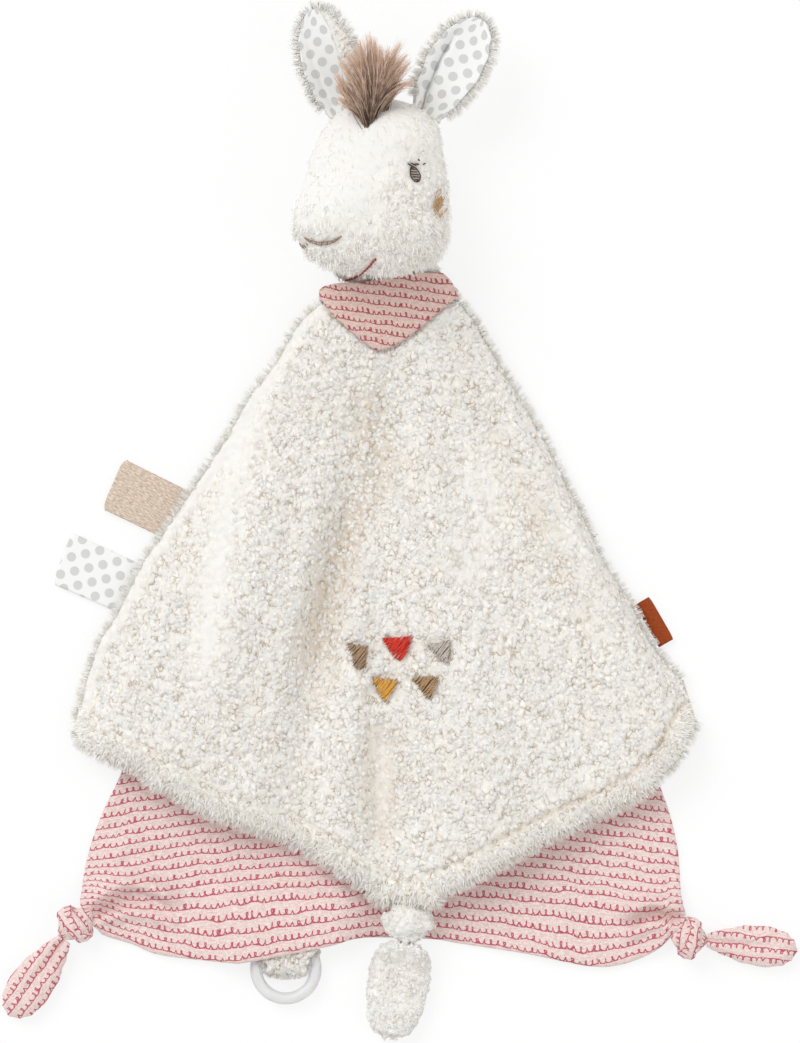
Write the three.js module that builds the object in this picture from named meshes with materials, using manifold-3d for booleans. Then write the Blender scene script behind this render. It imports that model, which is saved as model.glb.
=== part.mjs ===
// A comfort blanket with a stuffed animal head, lying on its back: +Y is the head end and +Z is up.
// The pieces are placed from the middle of the neck seam, and the whole is centred at the end.
import * as THREE from "three";
import { mergeVertices } from "three/addons/utils/BufferGeometryUtils.js";
import Module from "manifold-3d";

const wasm = await Module();
wasm.setup();

// Cloth, in millimetres
const clearance = 0.3;
const drapeClearance = 1.4;
const jerseyThickness = 1.2;
const pileThickness = 6;
const rimPileShare = 0.6;

// The sherpa square, laid as a diamond below the neck
const squareSide = 290;
const frontFoldHeight = 13;
const frontArch = 6;
const seamDrop = 2.5;

// The jersey panel behind it, cut longer and wider than the square
const lowerWidthShare = 1.117;
const lowerLengthShare = 1.207;
const lowerWidth = lowerWidthShare * squareSide;
const lowerLength = lowerLengthShare * squareSide;
const lowerFoldHeight = 5;

// The neck, its hinge and the rise of the cloth towards it
const neckHinge = 9;
const neckHeight = 13;
const neckWidth = 60;
const lowerEase = 2;
const frontEase = 3.5;
const lowerTopWidth = neckWidth + 2 * lowerEase;
const frontTopWidth = neckWidth + 2 * frontEase;
const neckRadius = 11;
const neckRise = 6;
const neckFade = 70;

// The head, stuffed, on its back
const headWidth = 84;
const headLength = 104;
const headDepth = 78;
const headWall = 2.5;
const restCut = 0.5;

// Ears, forelock and embroidery
const earLength = 59;
const earWidth = 31;
const earThickness = 3;
const earCup = 4;
const earLiningThickness = 1;
const earLiningInset = 2;
const leftEarLean = 12;
const rightEarLean = -29;
const tuftLength = 51;
const tuftWidth = 40;
const tuftThickness = 16;
const tuftHeightShare = 0.77;
const tuftHeight = tuftHeightShare * headDepth;
const stitchThickness = 0.8;
const eyeLength = 8.5;
const eyeWidth = 5.5;
const cheekDiameter = 12;
const nostrilLength = 19;
const nostrilWidth = 2.6;
const mouthLength = 34;
const mouthWidth = 1.2;
const pennantWidth = 17;
const pennantDepth = 14;
const pennantGap = 3.5;

// The neckerchief
const kerchiefThickness = 1.4;
const kerchiefEase = 2.5;
const kerchiefWidth = frontTopWidth + 2 * kerchiefEase;
const kerchiefBand = 5.6;
const kerchiefFlap = 29.5;
const kerchiefClearance = 0.6;

// Knots and their tails
const frontKnot = { width: 28, length: 21, height: 17 };
const leftKnot = { width: 21, length: 19, height: 16 };
const rightKnot = { width: 19, length: 22, height: 16 };
const frontTail = { length: 49.5, width: 30, thickness: 13 };
const leftTail = { length: 48.5, width: 22, thickness: 11 };
const rightTail = { length: 46.5, width: 19, thickness: 10 };
const knotRise = 4;
const knotRiseReach = 26;

// Tags in the side edges
const ribbonWidth = 28;
const velourLength = 36;
const dottedLength = 38;
const velourPly = 1.2;
const cottonPly = 0.9;
const labelWidth = 25.5;
const labelLength = 7;
const labelPly = 0.4;
const plyGap = 0.4;

// The ring and its strap
const ringRadius = 15.5;
const ringTube = 3;
const strapLength = 27;
const strapRootWidth = 38;
const strapFoldWidth = 17;
const strapPly = 1.8;
const strapReach = 24;
const strapMargin = 6;

// Small helpers
const degree = Math.PI / 180;
const mix = THREE.MathUtils.lerp;
const ease = THREE.MathUtils.smoothstep;

function profile(shares, at) {
  const last = shares.length - 1;
  if (at <= shares[0][0]) return shares[0][1];
  for (let i = 0; i < last; i++) {
    const [from, low] = shares[i];
    const [to, high] = shares[i + 1];
    if (at <= to) return mix(low, high, ease(at, from, to));
  }
  return shares[last][1];
}

// A closed body from corner points, facing outwards
function body(triangles) {
  const positions = [];
  const same = (p, q) => p.distanceToSquared(q) === 0;
  for (const [a, b, c] of triangles) {
    if (same(a, b) || same(b, c) || same(c, a)) continue;
    positions.push(...a, ...b, ...c);
  }
  let volume = 0;
  for (let i = 0; i < positions.length; i += 9) {
    const [ax, ay, az, bx, by, bz, cx, cy, cz] = positions.slice(i, i + 9);
    volume += ax * (by * cz - bz * cy) + ay * (bz * cx - bx * cz) + az * (bx * cy - by * cx);
  }
  if (volume < 0) {
    for (let i = 0; i < positions.length; i += 9) {
      const swapped = positions.slice(i + 3, i + 6);
      positions.splice(i + 3, 3, ...positions.slice(i + 6, i + 9));
      positions.splice(i + 6, 3, ...swapped);
    }
  }
  const geometry = new THREE.BufferGeometry();
  geometry.setAttribute("position", new THREE.Float32BufferAttribute(positions, 3));
  geometry.computeVertexNormals();
  return geometry;
}

function quads(near, far, wrap, flipped = false) {
  const triangles = [];
  const count = wrap ? near.length : near.length - 1;
  for (let i = 0; i < count; i++) {
    const j = (i + 1) % near.length;
    triangles.push([near[i], near[j], far[j]], [near[i], far[j], far[i]]);
  }
  return flipped ? triangles.map(([a, b, c]) => [a, c, b]) : triangles;
}

// A slab between two grids of points: rows of columns, joined round their rims
function slab(top, bottom, wrap = false) {
  const triangles = [];
  const last = top.length - 1;
  for (let row = 0; row < last; row++) {
    triangles.push(...quads(top[row], top[row + 1], wrap));
    triangles.push(...quads(bottom[row], bottom[row + 1], wrap, true));
  }
  triangles.push(...quads(bottom[0], top[0], wrap));
  triangles.push(...quads(top[last], bottom[last], wrap));
  if (!wrap) {
    const left = (grid) => grid.map((row) => row[0]);
    const right = (grid) => grid.map((row) => row[row.length - 1]);
    triangles.push(...quads(left(top), left(bottom), false));
    triangles.push(...quads(right(bottom), right(top), false));
  }
  return body(triangles);
}

// A closed skin over rings of points whose first and last rings are single points
function skin(rings) {
  const triangles = [];
  for (let i = 0; i < rings.length - 1; i++) {
    triangles.push(...quads(rings[i], rings[i + 1], true));
  }
  return body(triangles);
}

function grid(rows, columns, point) {
  return Array.from({ length: rows + 1 }, (_, row) =>
    Array.from({ length: columns + 1 }, (_, column) => point(column / columns, row / rows)),
  );
}

// Cutting
function solidOf(geometry) {
  const bare = new THREE.BufferGeometry();
  bare.setAttribute("position", geometry.getAttribute("position"));
  const merged = mergeVertices(bare);
  return new wasm.Manifold(
    new wasm.Mesh({
      numProp: 3,
      vertProperties: merged.getAttribute("position").array,
      triVerts: new Uint32Array(merged.index.array),
    }),
  );
}

function geometryOf(solid) {
  const { vertProperties, triVerts } = solid.getMesh();
  const geometry = new THREE.BufferGeometry();
  geometry.setAttribute("position", new THREE.BufferAttribute(vertProperties, 3));
  geometry.setIndex(new THREE.BufferAttribute(triVerts, 1));
  const flat = geometry.toNonIndexed();
  flat.computeVertexNormals();
  return flat;
}

function cut(geometry, ...tools) {
  let solid = solidOf(geometry);
  for (const tool of tools) solid = solid.subtract(solidOf(tool));
  return geometryOf(solid);
}

// Places of the knots, below the neck, as shares of the cloth that each closes
const frontKnotShares = [0.034, -1.137];
const leftKnotShares = [-0.504, -0.943];
const rightKnotShares = [0.483, -0.964];
const frontKnotAt = new THREE.Vector2(...frontKnotShares).multiplyScalar(squareSide);
const lowerSpan = new THREE.Vector2(lowerWidth, lowerLength);
const leftKnotAt = new THREE.Vector2(...leftKnotShares).multiply(lowerSpan);
const rightKnotAt = new THREE.Vector2(...rightKnotShares).multiply(lowerSpan);

// The strap hangs behind the hem of the jersey panel
const strapRootShares = [-0.166, -0.957];
const strapRoot = new THREE.Vector2(...strapRootShares).multiply(lowerSpan);
const strapInner = ringTube + clearance;
const strapOuter = strapInner + strapPly;

// How the jersey panel lies: flat, but for the rise to the neck and the folds at its hem
const fanApex = 63;
const fanSlopeShare = 0.58;
const fanShare = (x, y) => x / ((fanApex - y) * fanSlopeShare);

const lowerFoldShares = [
  [-1, 0.5],
  [-0.78, 1],
  [-0.58, 0.1],
  [-0.4, 0.4],
  [-0.2, 0.2],
  [-0.06, 0],
  [0.12, 0],
  [0.34, 0.5],
  [0.5, 0.15],
  [0.7, 1],
  [0.9, 0.4],
];
const hemFadeShares = [0.8, 1];

function risenBy(x, y, place, reach) {
  return 1 - ease(Math.hypot(x - place.x, y - place.y), 0, reach);
}

function strapRise(x, y) {
  const aside = Math.abs(x - strapRoot.x) - strapRootWidth / 2 - strapMargin;
  const above = y - strapRoot.y - strapOuter - strapMargin;
  return (1 - ease(aside, 0, strapReach)) * (1 - ease(above, 0, strapReach));
}

function neckShare(y) {
  return Math.max(0, 1 + (y + seamDrop) / neckFade);
}

function lowerUnder(x, y) {
  const down = -y / lowerLength;
  const fold = lowerFoldHeight * profile(lowerFoldShares, fanShare(x, y));
  const folds = fold * ease(down, ...hemFadeShares);
  const knotShare = risenBy(x, y, leftKnotAt, knotRiseReach) + risenBy(x, y, rightKnotAt, knotRiseReach);
  const strap = (2 * strapOuter + clearance) * strapRise(x, y);
  return Math.max(strap, folds + knotRise * knotShare) + neckRise * neckShare(y);
}

// How the sherpa square lies on it: radial folds that grow away from the neck
const frontFoldShares = [
  [-1, 0.1],
  [-0.84, 0.6],
  [-0.58, 0.95],
  [-0.4, 0.8],
  [-0.23, 0.05],
  [-0.12, 0.55],
  [-0.03, 0.2],
  [0.12, 0.7],
  [0.27, 1],
  [0.44, 0.65],
  [0.57, 0.3],
  [0.74, 0.6],
  [0.89, 0.75],
  [1, 0.2],
];
const foldFadeShares = [0, 0.65];
const sideFallShares = [0.86, 1];

function liningUnder(x, y) {
  const fan = fanShare(x, y);
  const down = -y / squareSide;
  const folds = frontFoldHeight * profile(frontFoldShares, fan) * ease(down, ...foldFadeShares);
  const arch = frontArch * neckShare(y) * Math.max(0, 1 - fan * fan);
  const carried = lowerUnder(x, y) + 2 * jerseyThickness + clearance + drapeClearance;
  const side = 1 - ease(Math.abs(fan), ...sideFallShares) * (1 - neckShare(y));
  return (carried + folds) * side + arch;
}

const frontUnder = (x, y) => liningUnder(x, y) + jerseyThickness + clearance;

// A cloth spans its top, bottom and two side curves
function cloth(top, bottom, left, right) {
  return (u, v) => {
    const across = mix2(left.getPointAt(v), right.getPointAt(v), u);
    const along = mix2(top.getPointAt(u), bottom.getPointAt(u), v);
    const ends = mix2(
      mix2(left.getPointAt(0), right.getPointAt(0), u),
      mix2(left.getPointAt(1), right.getPointAt(1), u),
      v,
    );
    return across.add(along).sub(ends);
  };
}

const mix2 = (a, b, t) => a.clone().lerp(b, t);
const line = (a, b) => new THREE.LineCurve(a, b);

function drape(spread, columns, rowShares, under, over) {
  const rows = rowShares.length - 1;
  const at = (height) => (u, v) => {
    const { x, y } = spread(u, rowShares[Math.round(v * rows)]);
    return new THREE.Vector3(x, y, height(x, y, u, v));
  };
  return slab(grid(rows, columns, at(over)), grid(rows, columns, at(under)));
}

const shareOf = (span) => (shares) => new THREE.Vector2(...shares).multiply(span);

function frontSpread() {
  const side = new THREE.Vector2(squareSide, squareSide);
  const half = frontKnot.width / 2;
  const bottomShares = [
    [-0.543, -0.685],
    [-0.566, -0.774],
    [-0.522, -0.828],
    [-0.436, -0.882],
    [-0.314, -0.945],
    [-0.127, -1.03],
  ];
  const bottomRightShares = [
    [0.283, -0.992],
    [0.439, -0.918],
    [0.52, -0.842],
    [0.556, -0.774],
  ];
  const knotLeft = frontKnotAt.clone().add(new THREE.Vector2(-half, 0));
  const knotRight = frontKnotAt.clone().add(new THREE.Vector2(half, 0));
  const points = [
    ...bottomShares.map(shareOf(side)),
    knotLeft,
    knotRight,
    ...bottomRightShares.map(shareOf(side)),
  ];
  const bottom = new THREE.SplineCurve(points);
  const topLeft = new THREE.Vector2(-frontTopWidth / 2, -seamDrop);
  const topRight = new THREE.Vector2(frontTopWidth / 2, -seamDrop);
  return cloth(
    line(topLeft, topRight),
    bottom,
    line(topLeft, points[0]),
    line(topRight, points[points.length - 1]),
  );
}

function lowerSpread() {
  const leftShares = [
    [-0.427, -0.709],
    [-0.465, -0.783],
    [-0.487, -0.847],
  ];
  const bottomShares = [
    [-0.5, -0.911],
    [-0.472, -0.951],
    [-0.401, -0.98],
    [-0.31, -0.998],
    [-0.226, -1],
    [-0.103, -0.978],
    [0.01, -0.966],
    [0.114, -0.973],
    [0.218, -0.988],
    [0.323, -1.009],
    [0.376, -1.004],
    [0.427, -0.985],
    [0.474, -0.947],
    [0.475, -0.9],
  ];
  const rightShares = [
    [0.435, -0.734],
    [0.453, -0.781],
    [0.466, -0.837],
  ];
  const toPoint = shareOf(lowerSpan);
  const topLeft = new THREE.Vector2(-lowerTopWidth / 2, -seamDrop);
  const topRight = new THREE.Vector2(lowerTopWidth / 2, -seamDrop);
  const bottom = bottomShares.map(toPoint);
  const sideOf = (top, shares, end) => new THREE.SplineCurve([top, ...shares.map(toPoint), end]);
  return cloth(
    line(topLeft, topRight),
    new THREE.SplineCurve(bottom),
    sideOf(topLeft, leftShares, bottom[0]),
    sideOf(topRight, rightShares, bottom[bottom.length - 1]),
  );
}

// The stuffed head: soft lobes that melt into one another, seen from a point inside
const headSpan = new THREE.Vector3(headWidth, headLength, headDepth);
const headLobeShares = [
  { at: [-0.025, 0.735, 0.41], radius: [0.375, 0.235, 0.4] },
  { at: [-0.01, 0.5, 0.41], radius: [0.4, 0.27, 0.42] },
  { at: [-0.22, 0.56, 0.5], radius: [0.26, 0.25, 0.3] },
  { at: [-0.31, 0.34, 0.6], radius: [0.265, 0.24, 0.3] },
  { at: [0.085, 0.3, 0.46], radius: [0.31, 0.23, 0.33] },
  { at: [-0.1, 0.24, 0.6], radius: [0.35, 0.19, 0.25] },
];
const headHeartShares = [-0.03, 0.48, 0.42];
const meltShare = 9;
const headHeart = new THREE.Vector3(...headHeartShares).multiply(headSpan);
const headLobes = headLobeShares.map(({ at, radius }) => ({
  centre: new THREE.Vector3(...at).multiply(headSpan),
  radii: new THREE.Vector3(...radius).multiply(headSpan),
}));
const neckMiddle = new THREE.Vector3(0, neckHinge, neckHeight);
headLobes.push({
  centre: neckMiddle,
  radii: new THREE.Vector3(neckWidth / 2, neckRadius, neckRadius),
});

function inHead(point) {
  let sum = 0;
  for (const { centre, radii } of headLobes) {
    const reach = point.clone().sub(centre).divide(radii).length();
    sum += Math.exp(meltShare * (1 - reach));
  }
  return sum > 1;
}

// The head's skin in a direction from its heart, moved out by a margin
function headPoint(direction, margin = 0) {
  const ray = direction.clone().normalize();
  const at = (distance) => headHeart.clone().addScaledVector(ray, distance);
  const steps = 60;
  const stride = headLength / steps;
  let outside = headLength;
  while (!inHead(at(outside - stride))) outside -= stride;
  let inside = outside - stride;
  for (let i = 0; i < steps / 4; i++) {
    const middle = (inside + outside) / 2;
    if (inHead(at(middle))) inside = middle;
    else outside = middle;
  }
  const point = at(inside + margin);
  point.z = Math.max(point.z, -margin);
  return point;
}

const headRows = 15;
const headColumns = 20;

// A direction from the heart: turn is the angle from the crown, spin goes round the neck line
function headDirection(turn, spin) {
  return new THREE.Vector3(Math.sin(turn) * Math.cos(spin), Math.cos(turn), Math.sin(turn) * Math.sin(spin));
}

const down = new THREE.Vector3(0, -1, 0);
const neckwards = neckMiddle.clone().sub(headHeart).normalize();
const headTilt = new THREE.Quaternion().setFromUnitVectors(down, neckwards);

function headRings(lastTurn, margin) {
  return Array.from({ length: headRows + 1 }, (_, row) =>
    Array.from({ length: headColumns }, (_, column) => {
      const turn = (lastTurn * row) / headRows;
      const direction = headDirection(turn, (2 * Math.PI * column) / headColumns);
      return headPoint(direction.applyQuaternion(headTilt), margin);
    }),
  );
}

const neckOpening = 168 * degree;

function headShell() {
  return slab(headRings(neckOpening, 0), headRings(neckOpening, -headWall), true);
}

function headStuffing() {
  const margin = -headWall - clearance;
  const end = headPoint(neckwards, margin);
  const lastRing = Array.from({ length: headColumns }, () => end.clone());
  return skin([...headRings(neckOpening, margin), lastRing]);
}

// How far a mesh reaches towards a probe that comes in along a ray
const probe = new THREE.Raycaster();

function reachOf(mesh, from, ray) {
  probe.set(from, ray);
  const [hit] = probe.intersectObject(mesh);
  return hit ? hit.distance : Infinity;
}

// Moves a mesh along a direction until only the clearance is left between it and its neighbour
function seat(mesh, neighbour, towards) {
  const nearestFrom = (source, target, ray) => {
    const position = source.geometry.getAttribute("position");
    let nearest = Infinity;
    for (let i = 0; i < position.count; i++) {
      const from = new THREE.Vector3().fromBufferAttribute(position, i).applyMatrix4(source.matrixWorld);
      nearest = Math.min(nearest, reachOf(target, from, ray));
    }
    return nearest;
  };
  mesh.updateMatrixWorld(true);
  neighbour.updateMatrixWorld(true);
  const back = towards.clone().negate();
  const gap = Math.min(nearestFrom(mesh, neighbour, towards), nearestFrom(neighbour, mesh, back));
  mesh.position.addScaledVector(towards, gap - clearance);
}

// Lays a point of a flat pattern on the head's skin, round a middle seen from its heart
function headPatch(mesh, middle, turn, margin) {
  const ray = middle.clone().sub(headHeart).normalize();
  const side = new THREE.Vector3(0, 1, 0).cross(ray).normalize();
  const up = ray.clone().cross(side);
  const across = side.clone().multiplyScalar(Math.cos(turn)).addScaledVector(up, Math.sin(turn));
  const along = up.clone().multiplyScalar(Math.cos(turn)).addScaledVector(side, -Math.sin(turn));
  const centre = headPoint(ray);
  const outside = ray.clone().multiplyScalar(headDepth);
  const inwards = ray.clone().negate();
  const cell = 2 * stitchThickness;
  return (s, t) => {
    const point = centre.clone().addScaledVector(across, s).addScaledVector(along, t);
    let nearest = Infinity;
    for (const [i, j] of neighbours) {
      const from = point.clone().addScaledVector(across, i * cell).addScaledVector(along, j * cell);
      nearest = Math.min(nearest, reachOf(mesh, from.add(outside), inwards));
    }
    return point.add(outside).addScaledVector(ray, margin - nearest);
  };
}

const neighbours = [-1, 0, 1].flatMap((i) => [-1, 0, 1].map((j) => [i, j]));

function stitched(mesh, middle, turn, rows, columns, point) {
  const layer = (margin) => {
    const lay = headPatch(mesh, middle, turn, margin);
    return grid(rows, columns, (u, v) => lay(...point(u, v)));
  };
  return slab(layer(clearance + stitchThickness), layer(clearance));
}

// An embroidered oval, pointed at its two ends
function ovalPoint(length, width, blunt) {
  return (u, v) => {
    const t = 2 * v - 1;
    const half = (width / 2) * Math.pow(Math.max(1 - t * t, blunt), 1 / 2);
    return [(2 * u - 1) * half, (t * length) / 2];
  };
}

// An embroidered line bent like a smile
function smilePoint(length, width, bendShare) {
  return (u, v) => {
    const t = 2 * v - 1;
    const bend = bendShare * length * t * t;
    return [(t * length) / 2, bend + (u - 1 / 2) * width * (1 - (t * t) / 2)];
  };
}

// The face looks to one side: the pairs mirror each other over the face's middle plane
const faceSideways = new THREE.Vector3(0.585, 0, 0.811).normalize();

const inHeadSpan = (shares) => new THREE.Vector3(...shares).multiply(headSpan);

function mirrored(seen) {
  const aside = 2 * seen.clone().sub(headHeart).dot(faceSideways);
  return seen.clone().addScaledVector(faceSideways, -aside);
}

const eyeShares = [0.157, 0.575, 0.72];
const cheekShares = [0.3, 0.42, 0.58];
const farCheekShares = [-0.31, 0.42, 0.2];
const nostrilShares = [-0.4, 0.25, 0.95];
const mouthShares = [-0.16, 0.075, 0.72];
const eyeTurn = 20 * degree;
const mouthTurn = 32 * degree;
const nostrilBendShare = 0.14;
const mouthBendShare = 0.1;
const bluntShare = 0.06;

// Ears: a leaf whose edges curl up, hinged at its root
const earOutlineShares = [
  [0, 0.5],
  [0.25, 0.86],
  [0.5, 1],
  [0.72, 0.92],
  [0.88, 0.68],
  [0.97, 0.4],
  [1, 0.16],
];
const earRootShare = 0.35;
const earTurn = 28 * degree;
const earSpin = 8 * degree;
const earSeat = 3;
const earGap = 0.8;
const earRows = 8;
const earColumns = 6;

function earLeaf(length, width, base, thickness) {
  const point = (height) => (u, v) => {
    const half = (width / 2) * profile(earOutlineShares, v);
    const x = (2 * u - 1) * half;
    const curl = earCup * Math.pow(x / (earWidth / 2), 2);
    const slim = mix(earRootShare, 1, ease(v, 0, earRootShare));
    return new THREE.Vector3(x, v * length, curl * slim + height * slim);
  };
  return slab(grid(earRows, earColumns, point(base + thickness)), grid(earRows, earColumns, point(base)));
}

const earBackLeaf = () => earLeaf(earLength, earWidth, -earThickness / 2, earThickness);
const earLiningLeaf = () =>
  earLeaf(
    earLength - earLiningInset,
    earWidth - 2 * earLiningInset,
    earThickness / 2 + clearance / earRootShare,
    earLiningThickness,
  );

// The ear's root is sunk in the head and cut back to a gap, so that it follows the head's curve
function seatedEar(leaf, lean, spin, headSpace) {
  const root = headPoint(headDirection(earTurn, spin), -earSeat);
  leaf.rotateZ(lean * degree);
  leaf.translate(root.x, root.y, root.z);
  return cut(leaf, headSpace);
}

// The tuft on the forehead: a flat drop that rests on the head
const tuftShares = [
  [0, 0.05],
  [0.2, 0.4],
  [0.5, 0.85],
  [0.75, 1],
  [0.93, 0.75],
  [1, 0.3],
];
const tuftFootShares = [-0.13, 0.79];
const tuftLean = 8;
const tuftPitch = -14;

function leafRings(length, width, thickness, shares, columns, cuts) {
  const rings = cuts.map((t) => {
    const half = profile(shares, t);
    return Array.from({ length: columns }, (_, column) => {
      const angle = (2 * Math.PI * column) / columns;
      const x = (width / 2) * half * Math.cos(angle);
      return new THREE.Vector3(x, t * length, (thickness / 2) * half * Math.sin(angle));
    });
  });
  const tip = (t) => Array.from({ length: columns }, () => new THREE.Vector3(0, t * length, 0));
  return [tip(cuts[0]), ...rings, tip(cuts[cuts.length - 1])];
}

function forelock() {
  const cuts = tuftShares.map(([t]) => t);
  const tuft = skin(leafRings(tuftLength, tuftWidth, tuftThickness, tuftShares, 14, cuts));
  tuft.rotateX(tuftPitch * degree);
  tuft.rotateZ(tuftLean * degree);
  const foot = new THREE.Vector2(...tuftFootShares).multiply(new THREE.Vector2(headWidth, headLength));
  tuft.translate(foot.x, foot.y, tuftHeight);
  return cut(tuft, skin(headRings(Math.PI, clearance)));
}

// Knots: a round lump with a groove where the cloth wraps over itself
const wrapShare = 0.08;
const knotRows = 9;
const knotColumns = 14;

function knotGeometry({ width, length, height }, margin = 0) {
  const rings = grid(knotRows, knotColumns - 1, (u, v) => {
    const turn = Math.PI * v;
    const spin = (2 * Math.PI * u * (knotColumns - 1)) / knotColumns;
    const wrap = 1 - wrapShare * Math.cos(3 * turn + spin) * Math.sin(turn);
    const reach = new THREE.Vector3(width, length, height).divideScalar(2).multiplyScalar(wrap);
    reach.addScalar(margin);
    return new THREE.Vector3(
      reach.x * Math.sin(turn) * Math.cos(spin),
      reach.y * Math.cos(turn),
      reach.z * Math.sin(turn) * Math.sin(spin),
    );
  });
  return skin(rings);
}

// A tail is a leaf with a round root, which turns beside its knot
const tailShares = [
  [0, 0.05],
  [0.03, 0.24],
  [0.1, 0.34],
  [0.2, 0.46],
  [0.42, 0.86],
  [0.66, 1],
  [0.86, 0.78],
  [0.96, 0.4],
  [1, 0.12],
];

const tailFallShare = 0.3;

// It leaves the knot at its root's height and comes down to lie flat
function tailGeometry({ length, width, thickness }, rootHeight) {
  const cuts = tailShares.map(([t]) => t);
  const leaf = skin(leafRings(length, width, thickness, tailShares, 12, cuts));
  const position = leaf.getAttribute("position");
  const fall = rootHeight - thickness / 2 + restCut;
  for (let i = 0; i < position.count; i++) {
    const fallen = position.getZ(i) - fall * ease(position.getY(i), 0, tailFallShare * length);
    position.setZ(i, Math.max(fallen, -rootHeight));
  }
  return leaf;
}

// A ribbon folded on itself, whose hinge is the origin: its slanted ends turn clear of the seam
function foldedRibbon(length, width, ply, slantShare) {
  const gap = plyGap / 2;
  const root = gap + ply;
  const bends = 6;
  const path = (radius) => {
    const arc = Array.from({ length: bends + 1 }, (_, i) => {
      const angle = -Math.PI / 2 + (Math.PI * i) / bends;
      return [length - gap - ply + radius * Math.cos(angle), radius * Math.sin(angle)];
    });
    const end = radius - gap - root;
    return [[end, -radius], ...arc, [end, radius]];
  };
  const layer = (radius) =>
    [-1, 1].map((side) =>
      path(radius).map(([s, z]) => {
        const t = (side * width) / 2;
        return new THREE.Vector3(s, t + s * slantShare, z);
      }),
    );
  return slab(layer(gap + ply), layer(gap));
}

// The strap is a flat loop that narrows to its fold
function strapGeometry() {
  const arcSteps = 6;
  const reach = strapLength - 2 * strapOuter;
  const loop = (radius) => {
    const points = [];
    for (const [end, from] of [
      [0, Math.PI / 2],
      [-reach, (3 * Math.PI) / 2],
    ]) {
      for (let i = 0; i <= arcSteps; i++) {
        const angle = from - (Math.PI * i) / arcSteps;
        points.push([end + radius * Math.cos(angle), radius * Math.sin(angle)]);
      }
    }
    return points;
  };
  const layer = (radius) =>
    [-1, 0, 1].map((side) =>
      loop(radius).map(([y, z]) => {
        const down = THREE.MathUtils.clamp(-y / reach, 0, 1);
        const half = mix(strapRootWidth, strapFoldWidth, down) / 2;
        return new THREE.Vector3(side * half, y, z);
      }),
    );
  return slab(layer(strapOuter), layer(strapInner), true);
}

// The height at which a small thing rests on a mesh
function restOn(mesh, x, y, cell) {
  const below = new THREE.Vector3(0, 0, -1);
  const heights = neighbours.map(([i, j]) => {
    const from = new THREE.Vector3(x + i * cell, y + j * cell, headDepth);
    return headDepth - reachOf(mesh, from, below);
  });
  return Math.max(...heights);
}

// The neckerchief: a band round the neck whose front runs down in a point on the sherpa
const flapSpanShare = 0.94;
const flapPointShare = 1.3;

function kerchiefGeometry(sherpa) {
  const columns = 30;
  const rows = 6;
  const rowPoint = (margin) => (u, v) => {
    const spin = (2 * Math.PI * u * (columns - 1)) / columns;
    const x = (kerchiefWidth / 2 - kerchiefThickness + margin) * Math.cos(spin);
    const front = Math.sin(spin) > 0;
    const aside = Math.min(1, Math.abs(x) / ((kerchiefWidth / 2) * flapSpanShare));
    const flap = front ? kerchiefFlap * (1 - Math.pow(aside, flapPointShare)) : 0;
    const bandTop = kerchiefBand - seamDrop + clearance;
    const y = bandTop - v * (kerchiefBand + flap);
    const band = neckHeight + (neckRadius + kerchiefClearance + margin) * Math.sin(spin);
    if (!front || y > -seamDrop + 2 * kerchiefThickness) return new THREE.Vector3(x, y, band);
    const laid = restOn(sherpa, x, y, 2 * kerchiefThickness) + kerchiefClearance + margin;
    const over = ease(-y - seamDrop, -2 * kerchiefThickness, kerchiefBand);
    return new THREE.Vector3(x, y, Math.max(laid, mix(band, laid, over)));
  };
  const layer = (margin) => grid(rows, columns - 1, rowPoint(margin));
  return slab(layer(kerchiefThickness), layer(0), true);
}

// Colours and surfaces
function look(color, roughness, extra = {}) {
  return () => new THREE.MeshStandardMaterial({ color, roughness, metalness: 0, ...extra });
}

const looks = {
  sherpa: look(0xf2ede4, 1),
  jersey: look(0xe3b9b4, 0.9),
  lining: look(0xe6dad0, 0.9),
  dotted: look(0xeeeeea, 0.85),
  filling: look(0xfafaf5, 1),
  hair: look(0x9a7f70, 0.7),
  dark: look(0x4a3a36, 0.6),
  peach: look(0xd9a86c, 0.7),
  brown: look(0x8a7468, 0.7),
  crimson: look(0xb03440, 0.6),
  taupe: look(0x94785c, 0.7),
  red: look(0xd8402c, 0.7),
  grey: look(0xc9c0b4, 0.7),
  mustard: look(0xd9a03c, 0.7),
  tan: look(0xa9855c, 0.7),
  velour: look(0xc9b29c, 0.95),
  label: look(0x9c4a22, 0.8),
  plastic: look(0xe9ebec, 0.25, { transparent: true, opacity: 0.6 }),
};

function piece(name, geometry, material) {
  const mesh = new THREE.Mesh(geometry, material());
  mesh.name = name;
  return mesh;
}

const lovey = new THREE.Group();

// The cloths
const frontRowShares = [0, 0.04, 0.1, 0.18, 0.28, 0.38, 0.48, 0.58, 0.68, 0.78, 0.87, 0.95, 1];
const lowerRowShares = [0, 0.08, 0.2, 0.4, 0.6, 0.72, 0.8, 0.86, 0.91, 0.955, 1];
const frontColumns = 26;
const lowerColumns = 28;
const onRim = (u, v) => u === 0 || u === 1 || v === 1;
const frontPile = (x, y, u, v) => frontUnder(x, y) + pileThickness * (onRim(u, v) ? rimPileShare : 1);

const knots = {
  front: { size: frontKnot, at: frontKnotAt, floor: 2 * jerseyThickness + 3 * clearance },
  left: { size: leftKnot, at: leftKnotAt, floor: 0 },
  right: { size: rightKnot, at: rightKnotAt, floor: 0 },
};

const knotHeight = ({ size, floor }) => floor + (size.height / 2) * (1 + wrapShare);

function placedKnot({ size, at, floor }, margin = 0) {
  const geometry = knotGeometry(size, margin);
  return geometry.translate(at.x, at.y, knotHeight({ size, floor }));
}

const knotSpaces = Object.values(knots).map((knot) => placedKnot(knot, clearance));

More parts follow.
